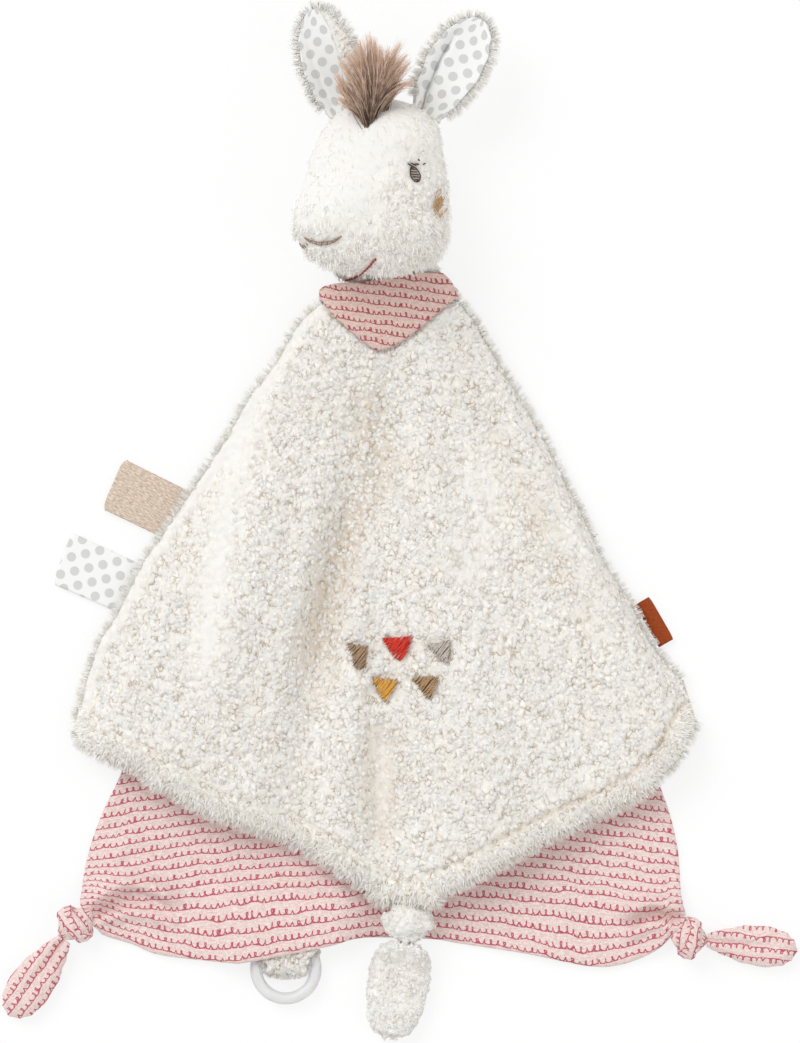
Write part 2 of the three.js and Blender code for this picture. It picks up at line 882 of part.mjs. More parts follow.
const drapedCloths = [
  ["lower_blanket_back", lowerSpread(), lowerColumns, lowerRowShares, lowerUnder, 0, looks.jersey],
  ["lower_blanket_front", lowerSpread(), lowerColumns, lowerRowShares, lowerUnder, 1, looks.jersey],
];
for (const [name, spread, columns, rowShares, under, level, material] of drapedCloths) {
  const lift = level * (jerseyThickness + clearance);
  const bottom = (x, y) => under(x, y) + lift;
  const top = (x, y) => under(x, y) + lift + jerseyThickness;
  lovey.add(piece(name, cut(drape(spread, columns, rowShares, bottom, top), ...knotSpaces), material));
}

const liningOver = (x, y) => liningUnder(x, y) + jerseyThickness;
const liningGeometry = drape(frontSpread(), frontColumns, frontRowShares, liningUnder, liningOver);
const frontGeometry = drape(frontSpread(), frontColumns, frontRowShares, frontUnder, frontPile);
const frontLining = piece("front_blanket_lining", cut(liningGeometry, knotSpaces[0]), looks.lining);
lovey.add(frontLining);
const frontBlanket = piece("front_blanket", cut(frontGeometry, knotSpaces[0]), looks.sherpa);
lovey.add(frontBlanket);
lovey.add(piece("neckerchief", kerchiefGeometry(frontBlanket), looks.jersey));

// Knots and tails
const headings = {
  front: 172,
  left: 144,
  right: -97,
};
const tied = [
  ["front", frontTail, looks.sherpa],
  ["left", leftTail, looks.jersey],
  ["right", rightTail, looks.jersey],
];
for (const [side, size, material] of tied) {
  const knot = knots[side];
  const height = knotHeight(knot);
  const lump = piece(side + "_knot", placedKnot(knot), material);
  const mesh = piece(side + "_tail", tailGeometry(size, height), material);
  const turn = headings[side] * degree;
  const inwards = new THREE.Vector3(Math.sin(turn), -Math.cos(turn), 0);
  mesh.position.set(knot.at.x, knot.at.y, height);
  mesh.position.addScaledVector(inwards, -knot.size.width - knot.size.length);
  mesh.rotation.z = turn;
  seat(mesh, lump, inwards);
  lovey.add(lump, mesh);
}

// The head and what is sewn to it
const head = piece("head_shell", headShell(), looks.sherpa);
head.material.side = THREE.DoubleSide;
lovey.add(head);
lovey.add(piece("head_stuffing", headStuffing(), looks.filling));
lovey.add(piece("forelock", forelock(), looks.hair));

const earSpace = skin(headRings(Math.PI, earGap));
const ears = [
  ["left", leftEarLean, Math.PI + earSpin],
  ["right", rightEarLean, -earSpin],
];
for (const [side, lean, spin] of ears) {
  lovey.add(piece(side + "_ear_back", seatedEar(earBackLeaf(), lean, spin, earSpace), looks.sherpa));
  lovey.add(piece(side + "_ear_lining", seatedEar(earLiningLeaf(), lean, spin, earSpace), looks.dotted));
}

const eye = inHeadSpan(eyeShares);
const nostril = inHeadSpan(nostrilShares);
const eyePoint = ovalPoint(eyeLength, eyeWidth, bluntShare);
const cheekPoint = ovalPoint(cheekDiameter, cheekDiameter, bluntShare);
const nostrilPoint = smilePoint(nostrilLength, nostrilWidth, nostrilBendShare);
const faceParts = [
  ["right_eye", eye, eyeTurn, eyePoint, looks.dark],
  ["left_eye", mirrored(eye), -eyeTurn, eyePoint, looks.dark],
  ["right_cheek", inHeadSpan(cheekShares), 0, cheekPoint, looks.peach],
  ["left_cheek", inHeadSpan(farCheekShares), 0, cheekPoint, looks.peach],
  ["right_nostril", nostril, 0, nostrilPoint, looks.brown],
  ["left_nostril", mirrored(nostril), 0, nostrilPoint, looks.brown],
];
for (const [name, middle, turn, point, material] of faceParts) {
  lovey.add(piece(name, stitched(head, middle, turn, 6, 4, point), material));
}
const mouthPoint = smilePoint(mouthLength, mouthWidth, mouthBendShare);
const mouthGeometry = stitched(head, inHeadSpan(mouthShares), mouthTurn, 10, 1, mouthPoint);
lovey.add(piece("mouth", mouthGeometry, looks.crimson));

// Embroidery on the sherpa square, laid on its facets
const restingHeight = (x, y) => restOn(frontBlanket, x, y, pennantWidth / 8);

const pennantTipShare = 0.12;

function pennantGeometry(middle, lean) {
  const point = (margin) => (u, v) => {
    const half = (pennantWidth / 2) * mix(1, pennantTipShare, v);
    const local = new THREE.Vector2((2 * u - 1) * half, pennantDepth * (1 / 2 - v));
    local.rotateAround(new THREE.Vector2(), lean * degree).add(middle);
    return new THREE.Vector3(local.x, local.y, restingHeight(local.x, local.y) + margin);
  };
  return slab(grid(4, 4, point(clearance + stitchThickness)), grid(4, 4, point(clearance)));
}

const pennantsShares = [0.048, -0.662];
const pennantsMiddle = new THREE.Vector2(...pennantsShares).multiplyScalar(squareSide);
const pennantStep = pennantWidth + pennantGap;
const pennantDrop = pennantDepth + pennantGap;
const pennants = [
  ["taupe", -1, 0, 10, looks.taupe],
  ["red", 0, 0, 0, looks.red],
  ["grey", 1, 0, -8, looks.grey],
  ["mustard", -1 / 2, -1, 4, looks.mustard],
  ["tan", 1 / 2, -1, -4, looks.tan],
];
for (const [name, across, down, lean, material] of pennants) {
  const middle = pennantsMiddle.clone().add(new THREE.Vector2(across * pennantStep, down * pennantDrop));
  lovey.add(piece("pennant_" + name, pennantGeometry(middle, lean), material));
}

// Tags sewn into the side edges of the square
const spreadFront = frontSpread();

function tag(name, edge, share, geometry, ply, material) {
  const at = spreadFront(edge, share);
  const later = spreadFront(edge, share + 1 / 50);
  const along = later.clone().sub(at).normalize();
  const outward = new THREE.Vector2(along.y, -along.x).multiplyScalar(edge === 0 ? 1 : -1);
  const root = plyGap / 2 + ply;
  const mesh = piece(name, geometry, material);
  mesh.position.set(at.x + outward.x * ribbonWidth, at.y + outward.y * ribbonWidth, 0);
  mesh.position.z = liningUnder(at.x, at.y) + root;
  mesh.rotation.z = Math.atan2(outward.y, outward.x);
  seat(mesh, frontLining, new THREE.Vector3(-outward.x, -outward.y, 0));
  return mesh;
}

const velourShare = 0.594;
const dottedShare = 0.79;
const labelShare = 0.781;
const velourSlantShare = 0.12;
const dottedSlantShare = 0.16;
const velourGeometry = foldedRibbon(velourLength, ribbonWidth, velourPly, velourSlantShare);
const dottedGeometry = foldedRibbon(dottedLength, ribbonWidth, cottonPly, dottedSlantShare);
const labelGeometry = foldedRibbon(labelLength, labelWidth, labelPly, 0);
lovey.add(tag("velour_tag", 0, velourShare, velourGeometry, velourPly, looks.velour));
lovey.add(tag("dotted_tag", 0, dottedShare, dottedGeometry, cottonPly, looks.dotted));
lovey.add(tag("woven_label", 1, labelShare, labelGeometry, labelPly, looks.label));

// The ring in its strap
const strap = new THREE.Group();
strap.position.set(strapRoot.x, strapRoot.y, strapOuter);
strap.add(piece("ring_strap", strapGeometry(), looks.sherpa));
const ring = piece("plastic_ring", new THREE.TorusGeometry(ringRadius, ringTube, 10, 28), looks.plastic);
ring.position.set(0, -ringTube - clearance - ringRadius, 0);
strap.add(ring);
lovey.add(strap);

// The origin goes to the middle of the underside
lovey.updateMatrixWorld(true);
const box = new THREE.Box3().setFromObject(lovey, true);
const middle = box.getCenter(new THREE.Vector3());
lovey.position.set(-middle.x, -middle.y, -box.min.z);

export default lovey;
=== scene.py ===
# %% [markdown]
# # A comfort blanket with a stuffed animal head
# The real thing is a flat toy: a bouclé sherpa square gathered at the neck of a small stuffed head,
# with a printed jersey panel behind it, knots in the corners, ribbons in the seams and a ring on a loop.
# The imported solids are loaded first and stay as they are. Every soft piece is then made again in the
# same place with its true surface, because cloth lives from its folds, its pile and its print.

# %% Load the frame
import math
from functools import partial

import bpy
import numpy as np
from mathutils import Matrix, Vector
from mathutils.bvhtree import BVHTree
from mathutils.kdtree import KDTree


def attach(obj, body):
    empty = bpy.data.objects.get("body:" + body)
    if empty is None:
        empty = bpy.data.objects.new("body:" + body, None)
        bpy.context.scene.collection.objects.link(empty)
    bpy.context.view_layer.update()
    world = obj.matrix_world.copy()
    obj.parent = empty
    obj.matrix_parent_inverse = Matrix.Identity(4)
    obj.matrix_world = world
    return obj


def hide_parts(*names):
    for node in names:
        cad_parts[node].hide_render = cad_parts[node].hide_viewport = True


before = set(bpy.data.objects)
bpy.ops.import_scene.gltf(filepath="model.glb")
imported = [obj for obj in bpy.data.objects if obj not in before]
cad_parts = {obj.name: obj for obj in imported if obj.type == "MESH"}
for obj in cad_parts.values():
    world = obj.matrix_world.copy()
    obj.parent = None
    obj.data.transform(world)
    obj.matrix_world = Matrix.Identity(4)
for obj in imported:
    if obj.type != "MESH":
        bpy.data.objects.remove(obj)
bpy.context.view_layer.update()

MM = 0.001
chance = np.random.default_rng(11)

# %% [markdown]
# ## The camera, the light and the table
# The toy lies on its back and is seen from straight above. A long lens from far away keeps the high
# head and the flat hem at one scale. The light is a bright, even room with one broad lamp from the
# upper left and a weaker one from the right, so that the cream pile keeps its shading and doesn't
# turn into a white patch.

# %% Camera
CAMERA_HEIGHT = 5.0
SHARP_HEIGHT = 0.02
VIEW_WIDTH = 0.416
SENSOR = 36.0
bpy.ops.object.camera_add(location=(0, 0, CAMERA_HEIGHT))
camera = bpy.context.object
camera.name = "camera"
camera.data.sensor_fit = "HORIZONTAL"
camera.data.sensor_width = SENSOR
camera.data.lens = SENSOR * (CAMERA_HEIGHT - SHARP_HEIGHT) / VIEW_WIDTH
camera.data.clip_start = 0.05
bpy.context.scene.camera = camera
bpy.context.scene.view_settings.view_transform = "Standard"
print("camera", camera.data.lens)


# %% Colour and node helpers
def linear(code):
    """An sRGB hex colour as the linear values that a shader wants."""
    shares = [int(code[i:i + 2], 16) / 255 for i in (1, 3, 5)]
    return [*(s / 12.92 if s <= 0.04045 else ((s + 0.055) / 1.055) ** 2.4 for s in shares), 1.0]


def add_node(tree, kind, *inputs, **settings):
    """Adds one node, sets it up and fills its inputs, in their order or by their names."""
    node = tree.nodes.new("ShaderNode" + kind)
    for name, value in settings.items():
        setattr(node, name, value)
    named = inputs[0] if inputs and isinstance(inputs[0], dict) else dict(enumerate(inputs))
    for key, value in named.items():
        if isinstance(value, bpy.types.Node):
            value = next(socket for socket in value.outputs if socket.enabled)
        if isinstance(value, bpy.types.NodeSocket):
            tree.links.new(value, node.inputs[key])
        else:
            node.inputs[key].default_value = linear(value) if isinstance(value, str) else value
    return node


def bare(name):
    """A new material with an empty tree, and the function that adds its nodes."""
    material = bpy.data.materials.new(name)
    material.use_nodes = True
    material.node_tree.nodes.clear()
    return material, partial(add_node, material.node_tree)


def finish(name, recipe, *looks, **more):
    """A material of one Principled shader, whose inputs a recipe gives."""
    material, add = bare(name)
    add("OutputMaterial", add("BsdfPrincipled", recipe(add, *looks, **more)))
    return material


# %% Lamps
world = bpy.data.worlds.new("room")
bpy.context.scene.world = world
world.use_nodes = True
world.node_tree.nodes["Background"].inputs["Color"].default_value = (1, 1, 1, 1)
world.node_tree.nodes["Background"].inputs["Strength"].default_value = 0.66
for title, spot, strength, spread in [
    ("window", (-1.0, 1.1, 1.5), 1.3, 35),
    ("fill", (1.3, -0.4, 1.6), 0.45, 60),
]:
    bpy.ops.object.light_add(type="SUN", location=spot)
    lamp = bpy.context.object
    lamp.name = title
    lamp.data.energy = strength
    lamp.data.angle = math.radians(spread)
    lamp.rotation_euler = Vector(spot).to_track_quat("Z", "Y").to_euler()
print("lamps set")

# %% Table
bpy.ops.mesh.primitive_plane_add(size=8, location=(0, 0, -0.0006))
table = bpy.context.object
table.name = "table"
paper, add = bare("white_paper")
path = add("LightPath")
seen = add("Math", path.outputs["Is Camera Ray"], path.outputs["Is Glossy Ray"], operation="MAXIMUM")
seen = add("Math", seen, path.outputs["Is Transmission Ray"], operation="MAXIMUM")
share = add("Math", seen, 0.8, operation="MULTIPLY")
matt = add("BsdfDiffuse", {"Color": "#fafafa"})
glow = add("Emission", {"Color": (1, 1, 1, 1), "Strength": 1.0})
mixed = add("MixShader", share, matt, glow)
add("OutputMaterial", mixed)
table.data.materials.append(paper)
print("table set")

# %% [markdown]
# ## Sherpa pile
# Sherpa is a polyester knit whose long pile is curled into small bouclé pebbles, 3 to 4 mm across. It
# scatters light softly and has no gloss. Shade in the narrow gaps between the curls is painted into
# the colour as a warm beige, along the edges of a cell pattern at the curls' own size; fibres of a tenth of
# a millimetre are too fine to see, so they are drawn at half a millimetre. Where the cloth is
# stretched over a fold the pile lies smooth, which an attribute of the mesh says. Another attribute
# paints shade into the pile in the valleys of the folds and along the topstitching.


# %% Sherpa material
def sherpa(add, crown, gap, depth=1.0):
    """Curled pile: pale crowns and painted shade in the gaps between the curls, whose depth says how dark
    that painted shade gets.
    """
    place = add("TexCoord").outputs["Object"]
    warp = add("TexNoise", {"Vector": place, "Scale": 330.0, "Detail": 4.0, "Roughness": 0.75})
    warp = add("VectorMath", warp.outputs["Color"], (0.5, 0.5, 0.5), operation="SUBTRACT")
    warp = add("VectorMath", {0: warp, "Scale": 0.0052}, operation="SCALE")
    bent = add("VectorMath", place, warp, operation="ADD")
    bent = add("Mapping", {"Vector": bent, "Rotation": (0.0, 0.0, 0.35), "Scale": (1.12, 0.86, 1.0)})
    cells = add("TexVoronoi", {"Vector": bent, "Scale": 310.0}, feature="DISTANCE_TO_EDGE")
    fibre = add("TexNoise", {"Vector": place, "Scale": 900.0, "Detail": 3.0, "Roughness": 0.75})
    tangle = add("TexNoise", {"Vector": place, "Scale": 240.0, "Detail": 1.0})
    drift = add("TexNoise", {"Vector": place, "Scale": 45.0, "Detail": 2.0})
    calm = add("Attribute", attribute_name="calm").outputs["Fac"]
    lively = add("Math", 1.0, calm, operation="SUBTRACT")
    # Painted shade: near the cell edges the pile colour darkens towards the gap colour, as shade between the
    # curls.
    gap_shade = add("MapRange", cells, 0.0, 0.16, 1.0, 0.0, interpolation_type="SMOOTHSTEP")
    patchy = add("MapRange", tangle, 0.42, 0.64, 0.05 * depth, 1.0 * depth)
    gap_shade = add("Math", gap_shade, patchy, operation="MULTIPLY")
    gap_shade = add("Math", gap_shade, lively, operation="MULTIPLY")
    warmth = add("MapRange", drift, 0.35, 0.7, 0.0, 0.3)
    tone = add("Mix", {0: warmth, 6: crown, 7: "#f6ebdd"}, data_type="RGBA")
    # Painted shade: where the fold attribute is high, the pile darkens towards #e0d0bc, as shade in the fold
    # valleys and the topstitching groove.
    fold = add("Attribute", attribute_name="fold").outputs["Fac"]
    tone = add("Mix", {0: fold, 6: tone, 7: "#e0d0bc"}, data_type="RGBA")
    tone = add("Mix", {0: calm, 6: tone, 7: "#f3f1ed"}, data_type="RGBA")
    tone = add("Mix", {0: gap_shade, 6: tone, 7: gap}, data_type="RGBA")
    dome = add("MapRange", cells, 0.0, 0.3, 0.0, 1.0, interpolation_type="SMOOTHSTEP")
    dome = add("Math", dome, lively, operation="MULTIPLY")
    height = add("Math", fibre, 0.9, dome, operation="MULTIPLY_ADD")
    bump = add("Bump", {"Height": height, "Strength": 0.55, "Distance": 0.0008})
    return {
        "Base Color": tone, "Normal": bump, "Roughness": 0.95, "Specular IOR Level": 0.1,
        "Sheen Weight": 0.25, "Sheen Roughness": 0.6, "Sheen Tint": (1, 0.99, 0.97, 1),
        "Subsurface Weight": 0.2, "Subsurface Scale": 0.002, "Subsurface Radius": (1.0, 0.85, 0.65),
    }


def fibres(add, light, dark):
    """Loose pile fibres, a little uneven in their tone."""
    place = add("TexCoord").outputs["Object"]
    tuft = add("TexNoise", {"Vector": place, "Scale": 260.0, "Detail": 2.0})
    share = add("MapRange", tuft, 0.3, 0.6, 0.0, 1.0)
    tone = add("Mix", {0: share, 6: dark, 7: light}, data_type="RGBA")
    return {
        "Base Color": tone, "Roughness": 0.9, "Specular IOR Level": 0.1,
        "Sheen Weight": 0.2, "Sheen Roughness": 0.6,
        "Subsurface Weight": 0.5, "Subsurface Scale": 0.002, "Subsurface Radius": (1.0, 0.95, 0.9),
    }


# The second colour of each material is painted shade for the gaps between the curls.
cream_sherpa = finish("boucle_sherpa", sherpa, "#fffcf5", "#b9a894")
fluff = finish("loose_pile", sherpa, "#fffdf8", "#dccfbf", 0.6)
loose_fibres = finish("loose_fibres", fibres, "#fffefa", "#f6f0e6")
print("made", cream_sherpa.name, fluff.name, loose_fibres.name)

# %% [markdown]
# ## Printed jersey
# Single jersey is a fine knit with a dull, soft face. The print is a hand-drawn line that loops along
# in rows, so it is drawn as the path of a point on a rolling wheel: each row has its own shift, and
# how far the point lies from the wheel's middle wanders along the row, which gives open cups in one
# place and closed loops in another. The distance to that path is worked out with maths nodes on the
# cloth's own UV map, in millimetres.


# %% Jersey material
def jersey(add, base, melange, ink=None, row=5.4, pitch=3.4, line=0.3):
    """Heathered knit. With ink it has looped lines: row and pitch space them, line is how thick they are."""
    uv = add("UVMap")
    place = add("TexCoord").outputs["Object"]
    heather = add("TexNoise", {"Vector": place, "Scale": 900.0, "Detail": 3.0, "Roughness": 0.75})
    streak = add("Mapping", {"Vector": uv, "Scale": (0.35, 1.6, 1.0)})
    yarn = add("TexNoise", {"Vector": streak, "Scale": 1.0, "Detail": 3.0, "Roughness": 0.7})
    blend = add("Math", heather, yarn, operation="ADD")
    blend = add("MapRange", blend, 0.8, 1.2, 0.0, 1.0)
    tone = add("Mix", {0: blend, 6: melange, 7: base}, data_type="RGBA")
    if ink:
        split = add("SeparateXYZ", uv)
        wander = add("TexNoise", {"Vector": uv, "Scale": 0.09, "Detail": 1.0})
        sway = add("MapRange", wander, 0.3, 0.7, -0.7, 0.7)
        lifted = add("Math", split.outputs[1], sway, operation="ADD")
        rows = add("Math", lifted, row, operation="DIVIDE")
        number = add("Math", rows, operation="FLOOR")
        inner = add("Math", rows, operation="FRACT")
        centred = add("Math", inner, 0.5, operation="SUBTRACT")
        height = add("Math", centred, row, operation="MULTIPLY")
        luck = add("TexWhiteNoise", {"W": number}, noise_dimensions="1D")
        apart = add("Math", luck, 300.0, operation="MULTIPLY")
        along = add("Math", split.outputs[0], apart, operation="ADD")
        hand = add("TexNoise", {"W": along, "Scale": 0.21, "Detail": 1.5}, noise_dimensions="1D")
        loose = add("MapRange", hand, 0.35, 0.65, -0.4, 0.4)
        drawn = add("Math", along, loose, operation="ADD")
        cell = add("Math", drawn, pitch, operation="DIVIDE")
        part = add("Math", cell, operation="FRACT")
        part = add("Math", part, 0.5, operation="SUBTRACT")
        near = add("Math", part, operation="ABSOLUTE")
        near = add("Math", near, pitch, operation="MULTIPLY")
        far = add("Math", pitch, near, operation="SUBTRACT")
        curl = add("TexNoise", {"W": along, "Scale": 0.17, "Detail": 2.0}, noise_dimensions="1D")
        curl = add("MapRange", curl, 0.43, 0.57, 0.11 * pitch, 0.34 * pitch)
        rise = add("Math", curl, 0.5, 0.58, operation="MULTIPLY_ADD")
        foot = add("Math", rise, 1.15, operation="SUBTRACT")
        height = add("Math", height, foot, operation="SUBTRACT")
        level = add("Math", height, rise, operation="DIVIDE")
        level = add("Clamp", level, -0.97, 0.97)
        beyond = add("Math", level, rise, operation="MULTIPLY")
        beyond = add("Math", height, beyond, operation="SUBTRACT")
        opposite = add("Math", level, -1.0, operation="MULTIPLY")
        angle = add("Math", opposite, operation="ARCCOSINE")
        square = add("Math", level, level, operation="MULTIPLY")
        root = add("Math", 1.0, square, operation="SUBTRACT")
        root = add("Math", root, operation="SQRT")
        roll = add("Math", angle, pitch / (2 * math.pi), operation="MULTIPLY")
        reach = add("Math", root, curl, roll, operation="MULTIPLY_ADD")
        first = add("Math", near, reach, operation="SUBTRACT")
        first = add("Math", first, operation="ABSOLUTE")
        second = add("Math", far, reach, operation="SUBTRACT")
        second = add("Math", second, operation="ABSOLUTE")
        gap = add("Math", first, second, operation="MINIMUM")
        slope = add("Math", level, curl, operation="MULTIPLY")
        slope = add("Math", pitch / (2 * math.pi), slope, operation="SUBTRACT")
        slope = add("Math", slope, root, operation="DIVIDE")
        slope = add("Math", slope, rise, operation="DIVIDE")
        slope = add("Math", slope, slope, 1.0, operation="MULTIPLY_ADD")
        slope = add("Math", slope, operation="SQRT")
        gap = add("Math", gap, slope, operation="DIVIDE")
        gap = add("Math", gap, gap, operation="MULTIPLY")
        gap = add("Math", beyond, beyond, gap, operation="MULTIPLY_ADD")
        gap = add("Math", gap, operation="SQRT")
        mark = add("MapRange", gap, line * 0.7, line * 1.3, 0.92, 0.0)
        tone = add("Mix", {0: mark, 6: tone, 7: ink}, data_type="RGBA")
    knit = add("Mapping", {"Vector": uv, "Scale": (7.5, 5.0, 1.0)})
    stitch = add("TexWave", {"Vector": knit, "Scale": 0.4, "Distortion": 2.0, "Detail": 1.0})
    relief = add("Math", stitch, heather, operation="ADD")
    bump = add("Bump", {"Height": relief, "Strength": 0.25, "Distance": 0.0003})
    return {
        "Base Color": tone, "Normal": bump, "Roughness": 0.9, "Specular IOR Level": 0.2,
        "Sheen Weight": 0.1, "Sheen Roughness": 0.5,
    }


looped_jersey = finish("printed_jersey", jersey, "#fae7e3", "#ddc2bb", ink="#b93c57")
scarf_jersey = finish("printed_jersey_small", jersey, "#eed5ca", "#d0b0a5", ink="#a93851",
                      row=5.0, pitch=2.75, line=0.28)
plain_jersey = finish("plain_jersey", jersey, "#f3e9de", "#e6d8cb")
print("made", looped_jersey.name, scarf_jersey.name, plain_jersey.name)

# %% [markdown]
# ## Dotted cotton
# Plain-weave cotton with a pale grey dot print, 5 mm dots in staggered rows, 7.5 mm from each other.
# The weave is about 0.4 mm, too fine for the picture, so it is drawn at 0.8 mm.


# %% Cotton material
def dotted(add, dot=4.9, row=5.35):
    """Plain weave with staggered dots: how wide a dot is and how far apart the rows are."""
    uv = add("UVMap")
    split = add("SeparateXYZ", uv)
    rows = add("Math", split.outputs[1], row, operation="DIVIDE")
    number = add("Math", rows, operation="FLOOR")
    odd = add("Math", number, 0.5, operation="MULTIPLY")
    columns = add("Math", split.outputs[0], 2 * row, operation="DIVIDE")
    columns = add("Math", columns, odd, operation="ADD")
    across = add("Math", columns, operation="FRACT")
    across = add("Math", across, 0.5, operation="SUBTRACT")
    across = add("Math", across, 2 * row, operation="MULTIPLY")
    along = add("Math", rows, operation="FRACT")
    along = add("Math", along, 0.5, operation="SUBTRACT")
    along = add("Math", along, row, operation="MULTIPLY")
    spot = add("CombineXYZ", across, along, 0.0)
    reach = add("VectorMath", spot, operation="LENGTH")
    mark = add("MapRange", reach, dot / 2 - 0.15, dot / 2 + 0.15, 1.0, 0.0)
    tone = add("Mix", {0: mark, 6: "#f2f3f1", 7: "#d1d2d1"}, data_type="RGBA")
    grain = add("TexNoise", {"Vector": uv, "Scale": 0.9, "Detail": 3.0, "Roughness": 0.7})
    faint = add("MapRange", grain, 0.35, 0.7, 0.0, 0.1)
    tone = add("Mix", {0: faint, 6: tone, 7: "#dcd8d0"}, data_type="RGBA")
    weave = add("TexChecker", {"Vector": uv, "Scale": 1.25})
    bump = add("Bump", {"Height": weave.outputs[1], "Strength": 0.12, "Distance": 0.0002})
    return {
        "Base Color": tone, "Normal": bump, "Roughness": 0.85, "Specular IOR Level": 0.25,
    }


dotted_cotton = finish("dotted_cotton", dotted)
print("made", dotted_cotton.name)

# %% [markdown]
# ## Threads, ribbons, hair and plastic
# Embroidery thread is rayon: its filaments lie side by side and give a silky highlight, so the
# thread is anisotropic in look, with a low roughness. The forelock is long acrylic pile, darker at
# the root than at the tip. Velour is a short brushed nap, the label is a dense twill, and the ring is
# moulded polypropylene, milky because it scatters light within.


# %% Thread, nap, hair and plastic materials
def thread(add, light, dark, roughness=0.42):
    """Glossy thread, mixed from a light and a dark tone."""
    place = add("TexCoord").outputs["Object"]
    grain = add("TexNoise", {"Vector": place, "Scale": 1500.0, "Detail": 2.0})
    share = add("MapRange", grain, 0.35, 0.65, 0.0, 1.0)
    tone = add("Mix", {0: share, 6: dark, 7: light}, data_type="RGBA")
    bump = add("Bump", {"Height": grain, "Strength": 0.3, "Distance": 0.0001})
    return {
        "Base Color": tone, "Normal": bump, "Roughness": roughness, "Specular IOR Level": 0.35,
    }


def nap(add, light, dark, stretch):
    """A short brushed or ribbed surface, whose streaks a stretch of the UV map makes."""
    uv = add("UVMap")
    streaks = add("Mapping", {"Vector": uv, "Scale": stretch})
    brush = add("TexNoise", {"Vector": streaks, "Scale": 1.0, "Detail": 4.0, "Roughness": 0.7})
    share = add("MapRange", brush, 0.36, 0.64, 0.0, 1.0)
    tone = add("Mix", {0: share, 6: dark, 7: light}, data_type="RGBA")
    bump = add("Bump", {"Height": brush, "Strength": 0.5, "Distance": 0.0004})
    return {
        "Base Color": tone, "Normal": bump, "Roughness": 0.9, "Specular IOR Level": 0.15,
        "Sheen Weight": 0.35, "Sheen Roughness": 0.4,
    }


def hair(add, root, tip):
    """Long pile that gets lighter from its root to its tip."""
    along = add("Attribute", attribute_name="along").outputs["Fac"]
    place = add("TexCoord").outputs["Object"]
    lock = add("TexNoise", {"Vector": place, "Scale": 350.0, "Detail": 2.0})
    share = add("Math", along, lock, operation="ADD")
    share = add("MapRange", share, 0.35, 1.45, 0.0, 1.0)
    tone = add("Mix", {0: share, 6: root, 7: tip}, data_type="RGBA")
    return {
        "Base Color": tone, "Roughness": 0.45, "Specular IOR Level": 0.4, "Sheen Weight": 0.1,
    }


def milky(add):
    """Plastic that lets light in and scatters it."""
    place = add("TexCoord").outputs["Object"]
    cloud = add("TexNoise", {"Vector": place, "Scale": 120.0, "Detail": 2.0})
    tone = add("Mix", {0: cloud, 6: "#f4f5f5", 7: "#fdfdfd"}, data_type="RGBA")
    bump = add("Bump", {"Height": cloud, "Strength": 0.05, "Distance": 0.0003})
    return {
        "Base Color": tone, "Normal": bump, "Roughness": 0.28, "IOR": 1.49,
        "Transmission Weight": 0.45, "Subsurface Weight": 0.3, "Subsurface Scale": 0.003,
    }


thread_looks = {
    "dark": ("#55443f", "#2e2321", 0.35),
    "iris": ("#7d675c", "#4c3a33", 0.35),
    "peach": ("#d9aa6c", "#9c7448"),
    "brown": ("#ad9483", "#7d6456"),
    "crimson": ("#b8323c", "#8e2029"),
    "taupe": ("#bfa07e", "#8a6d50"),
    "red": ("#e8402c", "#bf2c1e"),
    "grey": ("#d8cfc8", "#a99d93"),
    "mustard": ("#eab758", "#c08428"),
    "tan": ("#c6a279", "#8f6c47"),
    # The _under tones are darker copies of the pennant colours: painted shade for the lower layer of threads,
    # which shows between the upper ones.
    "taupe_under": ("#6f543c", "#4c3828"),
    "red_under": ("#b42318", "#8b1a12"),
    "grey_under": ("#9a8d84", "#6e625b"),
    "mustard_under": ("#a9742a", "#7d531b"),
    "tan_under": ("#75563a", "#523a27"),
}
threads = {title: finish(title + "_thread", thread, *look) for title, look in thread_looks.items()}
velour = finish("velour_nap", nap, "#eddecf", "#b39c88", (0.4, 1.7, 1.0))
twill = finish("woven_twill", nap, "#ad5229", "#7d3413", (0.5, 2.4, 1.0))
forelock_hair = finish("long_pile", hair, "#432d20", "#e6c6ae")
milky_plastic = finish("milky_polypropylene", milky)
print("made", len(threads), "threads and the rest")

# %% [markdown]
# ## Bench tools
# A few helpers do what every piece needs: one to work on a piece alone, one to apply a modifier,
# and some that read and write the points of a mesh in millimetres, so that sizes can be typed as
# they are measured on the toy.


# %% Mesh helpers
def alone(obj=None):
    """Deselects all, then selects one piece."""
    if bpy.context.mode != "OBJECT":
        bpy.ops.object.mode_set(mode="OBJECT")
    bpy.ops.object.select_all(action="DESELECT")
    if obj:
        obj.select_set(True)
        bpy.context.view_layer.objects.active = obj


def applied(obj, kind, **settings):
    """Adds a modifier and applies it."""
    alone(obj)
    modifier = obj.modifiers.new("step", kind)
    for name, value in settings.items():
        setattr(modifier, name, value)
    bpy.ops.object.modifier_apply(modifier=modifier.name)
    return obj


def read(items, key, width=1, kind=float):
    """One value, or one row of values, for each item of a mesh."""
    flat = np.empty(width * len(items), kind)
    items.foreach_get(key, flat)
    return flat.reshape(-1, width) if width > 1 else flat


def points_of(obj):
    """The places of a mesh's points, in millimetres."""
    return read(obj.data.vertices, "co", 3) / MM


def normals_of(obj):
    """The directions that the points face."""
    return read(obj.data.vertices, "normal", 3)


def put(obj, points):
    """Moves the points of a mesh to places in millimetres."""
    obj.data.vertices.foreach_set("co", (points * MM).ravel())
    obj.data.update()
    return obj


def marked(obj, name, values):
    """Writes one value for each point, which a material reads."""
    obj.data.attributes.new(name, "FLOAT", "POINT").data.foreach_set("value", values)


def raised(points, lowest):
    """Lifts the points that lie too low, so that no cloth sinks into the table."""
    points[..., 2] = np.maximum(points[..., 2], lowest)
    return points


